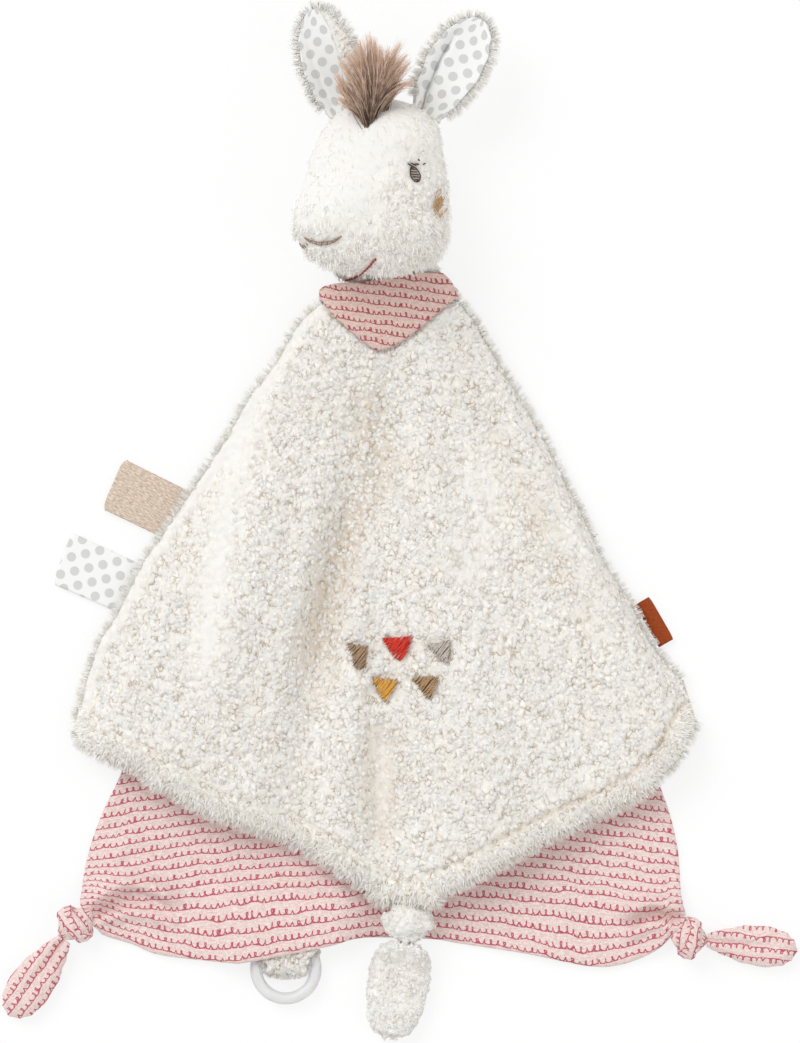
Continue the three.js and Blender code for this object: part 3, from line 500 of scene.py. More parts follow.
def dressed(obj, material, body, slot, *nodes):
    """Gives a finished piece its surface and its body, and hides the solids of the nodes that it stands for.
    """
    obj.data.materials.clear()
    obj.data.materials.append(material)
    rounded = "along" not in obj.data.attributes
    obj.data.polygons.foreach_set("use_smooth", [rounded] * len(obj.data.polygons))
    obj.data.update()
    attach(obj, body)
    if nodes:
        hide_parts(*nodes)
    lowest = round(float(points_of(obj)[:, 2].min()), 1)
    print(obj.name, len(obj.data.loops) - 2 * len(obj.data.polygons), "triangles, lowest at", lowest, "mm")
    return obj


def mapped(obj, place):
    """Writes the UV map, in millimetres, from each point's place."""
    layer = obj.data.uv_layers[0] if obj.data.uv_layers else obj.data.uv_layers.new(name="UVMap")
    corners = read(obj.data.loops, "vertex_index", kind=int)
    layer.data.foreach_set("uv", np.column_stack(place(points_of(obj)))[corners].ravel())


def outward(obj):
    """Merges seams and poles, and points the faces out."""
    alone(obj)
    bpy.ops.object.mode_set(mode="EDIT")
    bpy.ops.mesh.select_all(action="SELECT")
    bpy.ops.mesh.remove_doubles(threshold=0.00001)
    bpy.ops.mesh.normals_make_consistent(inside=False)
    bpy.ops.object.mode_set(mode="OBJECT")
    return obj


def soft(t, low=0.0, high=1.0):
    """An eased step from 0 at low to 1 at high."""
    t = np.clip((t - low) / (high - low), 0, 1)
    return t * t * (3 - 2 * t)


def smooth_line(points, count):
    """An even line of points on the smooth curve through those given."""
    points = np.array(points, float)
    ends = np.vstack([2 * points[0] - points[1], points, 2 * points[-1] - points[-2]])
    t = np.linspace(0, 1, 12, endpoint=False)[:, None]
    runs = []
    for a, b, c, d in zip(ends, ends[1:], ends[2:], ends[3:]):
        bend, twist = a - 2.5 * b + 2 * c - d / 2, 1.5 * (b - c) + (d - a) / 2
        runs.append(b + t * (c - a) / 2 + t**2 * bend + t**3 * twist)
    fine = np.vstack(runs + [points[-1:]])
    lengths = np.r_[0, np.cumsum(np.linalg.norm(np.diff(fine, axis=0), axis=1))]
    at = np.linspace(0, lengths[-1], count)
    return np.column_stack([np.interp(at, lengths, column) for column in fine.T])


def line_tree(line):
    """A search tree of a flat line's points."""
    tree = KDTree(len(line))
    for i, (x, y) in enumerate(line):
        tree.insert((x, y, 0), i)
    tree.balance()
    return tree


def away(points, line):
    """How far each point is from a line, and the share of the line that is nearest."""
    tree = line_tree(line)
    found = [tree.find((x, y, 0))[1:] for x, y in points[:, :2]]
    shares, distances = np.array(found).T
    return distances, shares / (len(line) - 1)


def crease(points, line, depth, width, lee=1.0):
    """The height of one fold along a line, which fades at its ends and may be steeper on its right."""
    line = smooth_line(line, 90)
    distance, share = away(points, line)
    nearest = np.round(share * (len(line) - 1)).astype(int)
    (ahead_x, ahead_y), (x, y) = np.gradient(line, axis=0)[nearest].T, (points[:, :2] - line[nearest]).T
    width = np.where(ahead_x * y < ahead_y * x, width * lee, width)
    return depth * np.exp(-(distance / width) ** 2) * soft(np.minimum(share, 1 - share), 0, 0.25)


def flat_grid(name, across, along):
    """An even sheet of one unit a side, as the start of a cloth."""
    alone()
    bpy.ops.mesh.primitive_grid_add(x_subdivisions=across, y_subdivisions=along, size=1)
    obj = bpy.context.object
    obj.name = name
    return obj


def loft(name, rings, size=(1, 1)):
    """A mesh through rows of points, whose UV map runs over size, in millimetres."""
    obj = flat_grid(name, rings.shape[1] - 1, rings.shape[0] - 1)
    put(obj, rings.reshape(-1, 3))
    layer = obj.data.uv_layers[0].data
    layer.foreach_set("uv", (read(layer, "uv", 2) * size).ravel())
    return outward(obj)


def net(along, across):
    """Two even runs over a grid, along its rows and across them: each from, to and how many."""
    return np.meshgrid(np.linspace(*along), np.linspace(*across), indexing="ij")


def turned(x, y, z, heading, place):
    """A shape's own x, y and z, turned by its heading in degrees and moved to its place."""
    cos, sin = math.cos(math.radians(heading)), math.sin(math.radians(heading))
    return np.stack([x * cos - y * sin, x * sin + y * cos, z], axis=-1) + place


print("tools ready")

# %% [markdown]
# ## How the cloths lie
# The solids already say how high each cloth lies, so the same rules are repeated here: the jersey
# panel is flat but for its hem, the sherpa square rides on it in folds that fan out from the neck.
# Heights are in millimetres above the table.

# %% Heights of the cloths
NECK = np.array([-5.735, 120.487])
SIDE = 290.0
LOWER = np.array([0.3239, 0.3500]) / MM
LEFT_KNOT = NECK + np.array([-0.504, -0.943]) * LOWER
RIGHT_KNOT = NECK + np.array([0.483, -0.964]) * LOWER
STRAP = NECK + np.array([-0.166, -0.957]) * LOWER
JERSEY = 1.2  # a ply of the jersey, with its air
SQUARE_REST = 4.1  # from the panel's underside to the lining's
BACKING_TOP = 1.5  # from a backing's underside to what lies on it
PILE_TOP = 7.5  # from the lining's underside to the smooth top of the pile
STITCH_LINE = 12.5  # from the hem to its topstitching
TABLE_GAP = 0.3  # what cloth keeps clear of the table
lower_folds = [(-1, 0.5), (-0.78, 1), (-0.58, 0.1), (-0.4, 0.4), (-0.2, 0.2), (-0.06, 0), (0.12, 0),
               (0.34, 0.5), (0.5, 0.15), (0.7, 1), (0.9, 0.4)]
front_folds = [(-1, 0.1), (-0.84, 0.6), (-0.58, 0.95), (-0.4, 0.8), (-0.23, 0.05), (-0.12, 0.55),
               (-0.03, 0.2), (0.12, 0.7), (0.27, 1), (0.44, 0.65), (0.57, 0.3), (0.74, 0.6), (0.89, 0.75),
               (1, 0.2)]


def through(table, at):
    """A smooth profile through a table of places and values."""
    places, values = np.array(table, float).T
    at = np.clip(at, places[0], places[-1])
    i = np.clip(np.searchsorted(places, at, side="right") - 1, 0, len(places) - 2)
    t = soft((at - places[i]) / (places[i + 1] - places[i]))
    return values[i] * (1 - t) + values[i + 1] * t


def fan(x, y):
    """Where a point lies in the fan of folds, from -1 at its left side to 1 at its right."""
    return x / ((63 - y) * 0.58)


def near_neck(y):
    """How much a point belongs to the gathers at the neck."""
    return np.maximum(0, 1 + (y + 2.5) / 70)


def lower_under(points):
    """The underside of the jersey panel."""
    x, y = (points[:, :2] - NECK).T
    folds = 5 * through(lower_folds, fan(x, y)) * soft(-y / LOWER[1], 0.8, 1)
    to_knots = [np.linalg.norm(points[:, :2] - middle, axis=1) for middle in (LEFT_KNOT, RIGHT_KNOT)]
    rise = sum(1 - soft(distance, 0, 26) for distance in to_knots)
    aside = np.abs(points[:, 0] - STRAP[0]) - 25
    above = points[:, 1] - STRAP[1] - 11.1
    strap = 10.5 * (1 - soft(aside, 0, 24)) * (1 - soft(above, 0, 24))
    return np.maximum(strap, folds + 4 * rise) + 6 * near_neck(y)


def lining_under(points):
    """The underside of the lining, which carries the sherpa square."""
    x, y = (points[:, :2] - NECK).T
    share = fan(x, y)
    folds = 13 * through(front_folds, share) * soft(-y / SIDE, 0, 0.65)
    arch = 6 * near_neck(y) * np.maximum(0, 1 - share * share)
    side = 1 - soft(np.abs(share), 0.86, 1) * (1 - near_neck(y))
    return (lower_under(points) + SQUARE_REST + folds) * side + arch


print("jersey and sherpa heights follow the solids")

# %% Cutting a cloth
def inside(points, outline):
    """Which points lie within a closed outline."""
    x, y = points[:, 0], points[:, 1]
    odd = np.zeros(len(points), bool)
    for (ax, ay), (bx, by) in zip(outline, np.roll(outline, -1, axis=0)):
        if ay != by:
            odd ^= ((ay > y) != (by > y)) & (x < (bx - ax) * (y - ay) / (by - ay) + ax)
    return odd


def cut_cloth(name, outline, pitch):
    """A sheet of even squares, cut along an outline."""
    low, high = outline.min(axis=0), outline.max(axis=0)
    cloth = flat_grid(name, *np.ceil((high - low) / pitch).astype(int).tolist())
    points = points_of(cloth) * MM
    points[:, :2] = low + (points[:, :2] + 0.5) * (high - low)
    put(cloth, points)
    bpy.ops.object.mode_set(mode="EDIT")
    bpy.ops.mesh.select_mode(type="FACE")
    bpy.ops.mesh.select_all(action="DESELECT")
    bpy.ops.object.mode_set(mode="OBJECT")
    outside = ~inside(read(cloth.data.polygons, "center", 3) / MM, outline)
    cloth.data.polygons.foreach_set("select", outside)
    bpy.ops.object.mode_set(mode="EDIT")
    bpy.ops.mesh.delete(type="FACE")
    bpy.ops.object.mode_set(mode="OBJECT")
    points = points_of(cloth)
    rim = rim_of(cloth)
    tree = line_tree(outline)
    points[rim] = [tree.find(point)[0] for point in points[rim]]
    return put(cloth, points)


def rim_of(obj):
    """The points on the open edge of a sheet."""
    faces = np.bincount(read(obj.data.loops, "edge_index", kind=int), minlength=len(obj.data.edges))
    return np.unique(read(obj.data.edges, "vertices", 2, int)[faces == 1])


def doubled(cloth, under, over):
    """Gives a flat sheet its two faces at two heights."""
    count = len(cloth.data.vertices)
    applied(cloth, "SOLIDIFY", thickness=0.001, offset=-1)
    points = points_of(cloth)
    points[:count, 2] = over
    points[count:, 2] = under
    return put(cloth, points)


front_left = [(-34.3, 119.3), (-52.0, 104.8), (-65.0, 84.0), (-80.6, 63.2), (-92.0, 42.4), (-109.7, 15.9),
              (-126.4, -9.1), (-134.7, -21.1), (-148.7, -48.6), (-157.0, -61.6), (-164.3, -82.4),
              (-169.5, -103.2)]
front_bottom = [(-170.0, -107.4), (-169.0, -113.6), (-164.8, -117.8), (-157.0, -122.5), (-145.1, -127.1),
                (-136.2, -130.3), (-129.5, -137.5), (-121.2, -139.6), (-113.4, -145.3), (-96.7, -153.7),
                (-62.9, -165.6), (-42.6, -176.0), (-19.8, -190.6), (-9.9, -198.9), (17.7, -199.9),
                (22.4, -193.7), (31.2, -190.6), (76.4, -166.7), (121.7, -145.3), (136.2, -132.9),
                (145.1, -124.0), (155.0, -105.3)]
front_right = [(147.7, -82.4), (130.0, -61.6), (119.6, -40.8), (105.6, -20.0), (96.7, 0.8), (85.8, 21.6),
               (75.9, 42.4), (64.0, 63.2), (51.0, 84.0), (39.0, 104.8), (27.0, 119.3)]
hem_line = smooth_line(front_bottom, 700)
front_outline = np.vstack([smooth_line(front_left, 500), hem_line, smooth_line(front_right, 500)])

lower_left = [(-34.8, 119.3), (-89.4, 11.2), (-130.0, -87.6), (-144.0, -127.7), (-156.0, -153.7),
              (-163.3, -176.0), (-167.0, -198.4)]
lower_hem = [(-164.3, -207.7), (-158.1, -212.4), (-153.9, -216.1), (-139.4, -220.7), (-128.4, -225.4),
             (-112.3, -228.0), (-88.4, -230.1), (-79.0, -229.6), (-39.0, -221.8), (-23.4, -217.6),
             (-6.2, -217.1), (18.2, -218.1), (31.2, -220.2), (65.0, -225.4), (98.8, -232.0),
             (116.0, -231.1), (132.6, -224.4),
             (141.4, -216.6), (147.7, -210.3)]
lower_right = [(149.0, -205.1), (146.6, -193.7), (145.1, -172.4), (140.9, -153.1), (135.2, -136.5),
               (117.0, -82.4), (78.0, 11.2), (27.6, 119.3)]
lower_runs = [(lower_left, 500), (lower_hem, 700), (lower_right, 500)]
lower_outline = np.vstack([smooth_line(*run) for run in lower_runs])
print("outlines of", len(front_outline), "and", len(lower_outline), "points")

# %% [markdown]
# ## The sherpa square
# This is the big cream cloth. It is cut from a grid, laid on the height rules, and given a rolled
# rim, the dip of the topstitching and the folds that show. Two Displace modifiers then raise the
# pile: cells of 4 mm for the curls and finer clouds for their fibres. Pinning hair particles would
# give the same look, but would not survive in an exported mesh.

# %% Lay the square
scarf_top = [(-41.6, 116.7), (-35.9, 123.0), (-17.2, 124.5), (-2.6, 127.1), (8.3, 128.7), (14.0, 130.8),
             (21.3, 129.2), (26.5, 124.0), (29.6, 116.7)]
scarf_bottom = [(29.6, 116.7), (21.3, 110.5), (9.4, 100.1), (-2.6, 91.8), (-10.9, 89.2), (-17.7, 92.8),
                (-26.5, 100.1), (-34.3, 107.4), (-41.6, 116.7)]
scarf_outline = np.vstack([smooth_line(scarf_top, 120), smooth_line(scarf_bottom, 160)])
pennants = {
    "taupe": [(-27.2, -63.0), (-16.4, -64.6), (-18.2, -75.6), (-21.8, -77.6), (-24.0, -75.0)],
    "red": [(-9.2, -60.8), (7.6, -59.0), (3.3, -69.9), (0.5, -72.8), (-3.9, -70.3)],
    "grey": [(14.2, -63.9), (26.8, -61.6), (26.2, -69.0), (24.6, -74.0), (20.2, -72.0)],
    "mustard": [(-14.8, -81.0), (-0.5, -82.4), (-5.4, -91.6), (-7.2, -94.0), (-10.6, -91.0)],
    "tan": [(6.5, -82.2), (14.9, -79.9), (20.6, -80.6), (20.0, -84.2), (14.9, -92.8)],
}
front_creases = [
    ([(-10.4, 89.2), (-12.5, 58.0), (-14.0, 28.3), (-25.0, -1.8), (-34.8, -30.4), (-41.6, -58.0),
      (-45.2, -110.0)], -8.0, 10),
    ([(-10.4, -96.5), (-9.9, -134.4), (-9.4, -179.7)], -6.0, 8),
    ([(14.0, 60.0), (16.0, 13.8), (20.0, -40.0)], 3.5, 11),
    ([(46.8, 66.8), (77.0, 21.6), (104.0, -25.2), (131.6, -78.8)], 3.5, 7),
    ([(38.0, 70.0), (64.0, 18.0), (86.0, -30.0), (106.0, -80.0)], -3.5, 8),
    ([(45.0, -90.0), (46.0, -128.0), (40.0, -160.0)], 3.0, 11),
    ([(-56.0, 60.0), (-72.0, 10.0), (-88.0, -50.0), (-98.0, -100.0)], 3.0, 13),
]


def sherpa_rise(points):
    """How far the folds lift the square above the even rules."""
    return sum(crease(points, *fold) for fold in front_creases)


def sherpa_over(points):
    """The smooth top of the pile, which other pieces are laid on."""
    return lining_under(points) + PILE_TOP + sherpa_rise(points)


square = cut_cloth("front_square", front_outline, 1.2)
flat = points_of(square)
top_count = len(flat)
from_rim = away(flat, front_outline)[0]
from_hem = away(flat, hem_line)[0]
from_scarf = away(flat, scarf_outline)[0] * np.where(inside(flat, scarf_outline), -1, 1)
pennant_middles = [np.mean(corners, axis=0) for corners in pennants.values()]
to_pennants = [np.linalg.norm(flat[:, :2] - middle, axis=1) for middle in pennant_middles]
from_pennant = np.min(to_pennants, axis=0)
roll = np.sqrt(1 - (1 - np.clip(from_rim / 5, 0, 1)) ** 2)
stitched = np.exp(-((from_hem - STITCH_LINE) / 2.0) ** 2)
band_puff = 1.2 * np.exp(-((from_hem - 6) / 4) ** 2)
pressed = 1.6 * (1 - soft(from_scarf, 0, 3)) + 1.6 * (1 - soft(from_pennant, 7, 11))
ground = lining_under(flat) + BACKING_TOP + sherpa_rise(flat)
over = ground + 1.0 + 5.0 * roll + band_puff - 2.2 * stitched - pressed
doubled(square, ground + 0.2, over)
print("square laid,", top_count, "points on its face")

# %% Raise the pile
PILE_FLOOR = 0.15
curl_texture = bpy.data.textures.new("curls", "VORONOI")
curl_texture.noise_scale = 0.0042
fibre_texture = bpy.data.textures.new("fibres", "CLOUDS")
fibre_texture.noise_scale = 0.0016
fibre_texture.noise_depth = 2


def pile(obj, weights, curl=0.0019, fibre=0.0009, lowest=PILE_FLOOR):
    """Raises curls and fibres where the weights say so."""
    group = obj.vertex_groups.new(name="pile")
    for level in range(1, 6):
        chosen = np.flatnonzero(np.round(weights * 5) == level)
        group.add(chosen.tolist(), level / 5, "REPLACE")
    for texture, strength, mid in [(curl_texture, -curl, 0.35), (fibre_texture, fibre, 0.5)]:
        applied(obj, "DISPLACE", texture=texture, strength=strength, mid_level=mid,
                vertex_group="pile", texture_coords="LOCAL")
    return put(obj, raised(points_of(obj), lowest))


weights = np.zeros(len(square.data.vertices))
weights[:top_count] = (
    np.clip(0.4 + from_rim / 4, 0, 1)
    * (0.25 + 0.75 * soft(from_pennant, 7, 10))
    * (0.2 + 0.8 * soft(from_scarf, -1, 3))
    * (1 - 0.5 * stitched)
)
pile(square, weights)
print("pile raised")


# %% Curls that stand on the pile
def many(name, points, corners, starts):
    """One mesh of many like shapes: the points of each, and the face corners and face starts of one."""
    numbers = np.arange(len(points))[:, None]
    mesh = bpy.data.meshes.new(name)
    mesh.vertices.add(points.size // 3)
    mesh.vertices.foreach_set("co", raised(points, PILE_FLOOR).reshape(-1) * MM)
    mesh.loops.add(len(points) * len(corners))
    mesh.loops.foreach_set("vertex_index", (corners + points[0].size // 3 * numbers).ravel())
    mesh.polygons.add(len(points) * len(starts))
    mesh.polygons.foreach_set("loop_start", (starts + len(corners) * numbers).ravel())
    mesh.update(calc_edges=True)
    obj = bpy.data.objects.new(name, mesh)
    bpy.context.scene.collection.objects.link(obj)
    return obj


def copies(name, template, origins, sides, fronts, ups):
    """Many copies of one small shape in one mesh, each turned and sized by its three axes."""
    shape = points_of(template)[None, ..., None]
    axes = enumerate((sides, fronts, ups))
    points = origins[:, None] + sum(shape[:, :, k] * axis[:, None] for k, axis in axes)
    corners = read(template.data.loops, "vertex_index", kind=int)
    return many(name, points, corners, read(template.data.polygons, "loop_start", kind=int))


def template_of(name, make):
    """A small shape for copying, kept apart from the object."""
    alone()
    make()
    obj = bpy.context.object
    obj.name = name
    alone(obj)
    bpy.ops.object.transform_apply(location=True, rotation=True, scale=True)
    return obj


def unit(vectors):
    """The same directions, each one long."""
    return vectors / np.maximum(np.linalg.norm(vectors, axis=1, keepdims=True), 1e-9)


curl_template = template_of("curl_shape", lambda: bpy.ops.mesh.primitive_uv_sphere_add(
    segments=6, ring_count=4, radius=0.001))


def curls(name, obj, chosen, size, material, body):
    """Curls of pile, as soft pebbles that stand half out of a surface at the chosen points."""
    points, normals = points_of(obj)[chosen], normals_of(obj)[chosen]
    count = len(chosen)
    ups = unit(normals + 0.25 * chance.normal(size=(count, 3)))
    fronts = unit(np.cross(ups, (0.3, -1.0, 0.0) + 0.7 * chance.normal(size=(count, 3))))
    sides = np.cross(fronts, ups)
    scale = (size * chance.uniform(0.8, 1.25, count))[:, None]
    jitter = chance.normal(0, 0.3, (count, 3))
    made = copies(name, curl_template, points + jitter - 0.45 * scale * normals, sides * scale * 1.7,
                  fronts * scale * 1.15, ups * scale * 0.95)
    return dressed(made, material, body, "sherpa_pile")


smooth_bands = [
    ([(-58.0, 84.0), (-83.0, 37.0), (-94.0, -20.0), (-100.0, -60.0), (-104.0, -110.0)], 0.85, 10),
    ([(-12.0, -100.0), (-10.0, -134.4), (-9.4, -170.0)], 0.6, 5),
    ([(40.0, 50.0), (42.0, 0.0), (30.0, -50.0)], 0.55, 13),
    ([(60.0, 40.0), (92.0, -20.0), (118.0, -84.0)], 0.4, 8),
]
calm = sum(crease(flat, *band) for band in smooth_bands)
calm = np.clip(calm + 0.8 * (1 - soft(away(flat, smooth_line(front_left, 500))[0], 4, 9)), 0, 1)
marked(square, "calm", np.r_[calm, np.zeros(top_count)])
# Painted shade for the pile: strongest in the deepest fold valleys, and along the topstitching groove on the
# right.
fold_shade = np.clip(-sherpa_rise(flat) / 8, 0, 1) * 0.65
fold_shade += 0.5 * np.exp(-(((from_hem - STITCH_LINE) / 1.6) ** 2)) * soft(flat[:, 0], 20, 60)
marked(square, "fold", np.r_[fold_shade, np.zeros(top_count)])
dressed(square, cream_sherpa, "cloths", "sherpa_pile", "front_blanket")
odds = np.clip(weights[:top_count] - 0.3, 0, 1) * (1 - calm) ** 2
picked = chance.choice(top_count, 8200, replace=False, p=odds / odds.sum())
left_side = points_of(square)[picked][:, 0] < -8
front_curls = [
    curls("front_curls_left", square, picked[left_side], 1.05, fluff, "cloths"),
    curls("front_curls_right", square, picked[~left_side], 1.05, fluff, "cloths"),
]


# %% Fringe round the rim
def strands(name, roots, middles, tips, width, steps=3):
    """Slim tapered fibres of three sides, each on its own bent line."""
    sides = 3
    t = np.linspace(0, 1, steps + 1)[None, :, None]
    spine = (1 - t) ** 2 * roots[:, None] + 2 * t * (1 - t) * middles[:, None] + t**2 * tips[:, None]
    ahead = unit(tips - roots)
    aside = unit(np.cross(ahead, chance.normal(size=ahead.shape)))
    third = np.cross(ahead, aside)
    angles = 2 * np.pi * np.arange(sides) / sides
    spread = aside[:, None] * np.cos(angles)[None, :, None] + third[:, None] * np.sin(angles)[None, :, None]
    taper = (1 - 0.85 * t[0, :, 0] ** 1.5) * width / 2
    taper[0] *= 0.5
    points = spine[:, :, None] + spread[:, None] * taper[None, :, None, None]
    here = np.arange(sides)
    beside = (here + 1) % sides
    first = np.column_stack([here, beside, sides + beside, sides + here])
    quads = np.vstack([first + ring * sides for ring in range(steps)])
    obj = many(name, points, quads.ravel(), 4 * np.arange(len(quads)))
    shade = np.repeat(t[0, :, 0], sides)[None] + chance.uniform(-0.45, 0.3, (len(roots), 1))
    marked(obj, "along", shade.ravel())
    return obj


def fringe(name, line, height, count, length, body):
    """Fibres that stand out of an edge in small locks. Height gives z at each point."""
    depth = 2.5
    at = np.sort(chance.uniform(0, len(line) - 2, count))
    low = at.astype(int)
    base = line[low] + (at - low)[:, None] * (line[low + 1] - line[low])
    ahead = unit(line[low + 1] - line[low])
    out = np.column_stack([-ahead[:, 1], ahead[:, 0]])
    lock = np.sin(at * 0.9) * 0.5 + np.sin(at * 0.37 + 1) * 0.5
    z = height(base)
    reach = length * chance.uniform(0.5, 1.15, count)
    roots = np.column_stack([base - depth * out * chance.uniform(0.2, 1, count)[:, None], z])
    swing = (0.45 * lock + 0.25 * chance.normal(size=count)) * reach
    tips = np.column_stack([base + out * reach[:, None] + ahead * swing[:, None], z])
    roots[:, 2] += chance.uniform(-1.0, 1.5, count)
    tips[:, 2] += chance.normal(0, 0.9, count)
    middles = (roots + tips) / 2
    middles[:, 2] += chance.uniform(0.3, 1.6, count)
    for part in (roots, middles, tips):
        raised(part, 0.4)
    return dressed(strands(name, roots, middles, tips, 0.55), loose_fibres, body, "sherpa_pile")


def combed(name, obj, chosen, stand, lean, stray, lengths, arch, width, body):
    """Fibres that stand on a surface at the chosen points and all lean one way."""
    roots, normals = points_of(obj)[chosen], normals_of(obj)[chosen]
    ahead = unit(normals * stand + lean + stray * chance.normal(size=normals.shape))
    length = chance.uniform(*lengths, (len(chosen), 1))
    tips = roots + ahead * length
    middles = (roots + tips) / 2 + normals * length * arch
    made = strands(name, roots - 0.4 * normals, middles, tips, width)
    return dressed(made, loose_fibres, body, "sherpa_pile")


rim_fringe = fringe("front_fringe", front_outline[::-1], lambda p: lining_under(p) + 4.5, 6500, 3.4, "cloths")
band = np.flatnonzero((from_hem < 12) & (from_rim > 1.5))
chosen = chance.choice(band, 2200, replace=False)
roots = points_of(square)[chosen]
nearest = hem_line[(away(roots, hem_line)[1] * (len(hem_line) - 1)).astype(int)]
outwards = np.column_stack([unit(nearest - roots[:, :2]), np.zeros(len(chosen))])
rim_nap = combed("front_rim_nap", square, chosen, 0.8, outwards * 0.8, 0.4, (2.4, 4.6), 0.25, 0.8, "cloths")
print("square finished")

# %% [markdown]
# ## Jersey lining and the printed panel
# Behind the pile lies a plain jersey, and behind that the two plies of the printed panel. They are
# cut the same way as the square. The print follows the cloth: at the hem its rows run along the
# hem, and higher up they arch, because the corners are drawn together in the knots.

# %% Lay the jerseys
shy_outline = front_outline + 1.5 * unit(np.array([[-8.0, -60.0]]) - front_outline)
lining = cut_cloth("front_lining", shy_outline, 3.5)
height = np.maximum(lining_under(points_of(lining)) + sherpa_rise(points_of(lining)), TABLE_GAP)
doubled(lining, height, height + JERSEY)
mapped(lining, lambda p: (p[:, 0], p[:, 1]))
dressed(lining, plain_jersey, "cloths", "plain_jersey", "front_blanket_lining")

printed_hem = [(-158.1, -212.4), (-139.4, -220.7), (-112.3, -228.0), (-88.4, -230.1), (-39.0, -221.8),
               (-6.2, -217.1), (31.2, -220.2), (65.0, -225.4), (98.8, -232.7), (132.6, -224.4),
               (141.4, -216.6)]
hem_x, hem_y = smooth_line(printed_hem, 200).T


def print_place(points):
    """Where a point of the panel lies on the printed cloth."""
    x, y = points[:, 0], points[:, 1]
    above_hem = y - np.interp(x, hem_x, hem_y)
    arched = y + 0.00062 * x * x + 217
    share = soft(above_hem, 0, 40)
    return x * (1 + 0.0004 * (y + 150)), above_hem * (1 - share) + arched * share


panel_creases = [
    ([(-166.0, -203.0), (-152.4, -193.2), (-142.5, -189.0), (-130.0, -191.6), (-112.0, -201.5)],
     8.5, 6.0, 0.6),
    ([(-164.2, -209.0), (-152.4, -200.5), (-142.5, -195.8), (-131.0, -197.9), (-117.6, -204.5)], -6.5, 3.2),
    ([(-164.0, -195.0), (-150.0, -176.0), (-132.0, -160.0)], 1.5, 5),
    ([(-166.0, -211.0), (-154.0, -207.0), (-142.0, -204.5), (-129.0, -206.5), (-112.0, -212.0)], 4.0, 3.4),
    ([(152.0, -214.0), (140.0, -211.0), (130.5, -211.0), (121.0, -215.5), (114.0, -222.0)], 4.0, 3.2),
    ([(150.0, -210.8), (139.4, -205.2), (130.5, -203.8), (123.2, -207.0), (117.0, -214.5)], -6.5, 3.0),
    ([(114.5, -210.8), (122.3, -202.5), (130.5, -199.4), (137.8, -200.5), (149.6, -205.1)], 8.5, 5.5, 0.6),
    ([(122.8, -150.6), (130.0, -164.6), (139.4, -176.0), (147.6, -190.4)], -3.0, 4.0),
    ([(58.0, -165.0), (74.0, -182.3), (84.0, -198.0), (89.0, -214.0)], 2.0, 6.0),
    ([(30.0, -200.0), (45.0, -212.0), (75.0, -222.0)], -1.5, 6.0),
    ([(20.0, -190.0), (34.0, -200.0), (40.0, -214.0)], -2.0, 5.0),
]
for name, node, pitch, lift in [
    ("panel_front", "lower_blanket_front", 1.45, BACKING_TOP),
    ("panel_back", "lower_blanket_back", 2.6, 0.0),
]:
    panel = cut_cloth(name, lower_outline, pitch)
    flat = points_of(panel)
    rim = away(flat, lower_outline)[0]
    folds = sum(crease(flat, *fold) for fold in panel_creases)
    base = np.maximum(lower_under(flat) + folds, 0) + lift
    edge = 0.9 * (1 - soft(rim, 0, 2.5)) * (1 if lift else 0)
    doubled(panel, base - 0.3 * edge, base + JERSEY - edge)
    mapped(panel, print_place)
    dressed(panel, looped_jersey, "cloths", "printed_jersey", node)

# %% [markdown]
# ## Stuffed head
# The head is a sewn sherpa bag full of fibre. Its form starts from the same soft lobes as the solid,
# a little smaller. A voxel remesh gives even quads, and a Cloth simulation with inner pressure
# swells it, so that it gets the tight, slightly uneven skin of a stuffed toy.

# %% Solve the form
HEAD = np.array([84.0, 104.0, 78.0])
NECK3 = np.array([*NECK, 0.0])
lobes = [
    ((-0.025, 0.735, 0.41), (0.375, 0.235, 0.4)),
    ((-0.01, 0.5, 0.41), (0.4, 0.27, 0.42)),
    ((-0.22, 0.56, 0.5), (0.26, 0.25, 0.3)),
    ((-0.31, 0.34, 0.6), (0.265, 0.24, 0.3)),
    ((0.085, 0.3, 0.46), (0.31, 0.23, 0.33)),
    ((-0.1, 0.24, 0.6), (0.35, 0.19, 0.25)),
]
centres = np.array([place for place, _ in lobes]) * HEAD
radii = np.array([size for _, size in lobes]) * HEAD
centres = np.vstack([centres, (0, 9, 13)])
radii = np.vstack([radii, (30, 11, 11)])
heart = np.array([-0.03, 0.48, 0.42]) * HEAD


def in_head(points):
    """Which points lie inside the lobes, blended into one another."""
    total = 0
    for centre, radius in zip(centres, radii):
        total = total + np.exp(9 * (1 - np.linalg.norm((points - centre) / radius, axis=-1)))
    return total > 1


def head_skin(rays, margin=0.0):
    """The outermost point of the head on each ray from its heart, in the row's place."""
    far = np.full(len(rays), HEAD[1])
    step = HEAD[1] / 60
    moving = np.ones(len(rays), bool)
    while moving.any():
        within = in_head(heart + rays * (far - step)[:, None])
        moving &= ~within
        far[moving] -= step
    near = far - step
    for _ in range(15):
        middle = (near + far) / 2
        within = in_head(heart + rays * middle[:, None])
        near, far = np.where(within, middle, near), np.where(within, far, middle)
    return raised(heart + rays * (near + margin)[:, None], TABLE_GAP - margin) + NECK3


alone()
bpy.ops.mesh.primitive_uv_sphere_add(segments=72, ring_count=48, radius=1)
head = bpy.context.object
head.name = "head"
put(head, head_skin(unit(points_of(head)), -2.0))
head.data.remesh_voxel_size = 0.004
alone(head)
bpy.ops.object.voxel_remesh()
print("head of", len(head.data.vertices), "points before it is filled")


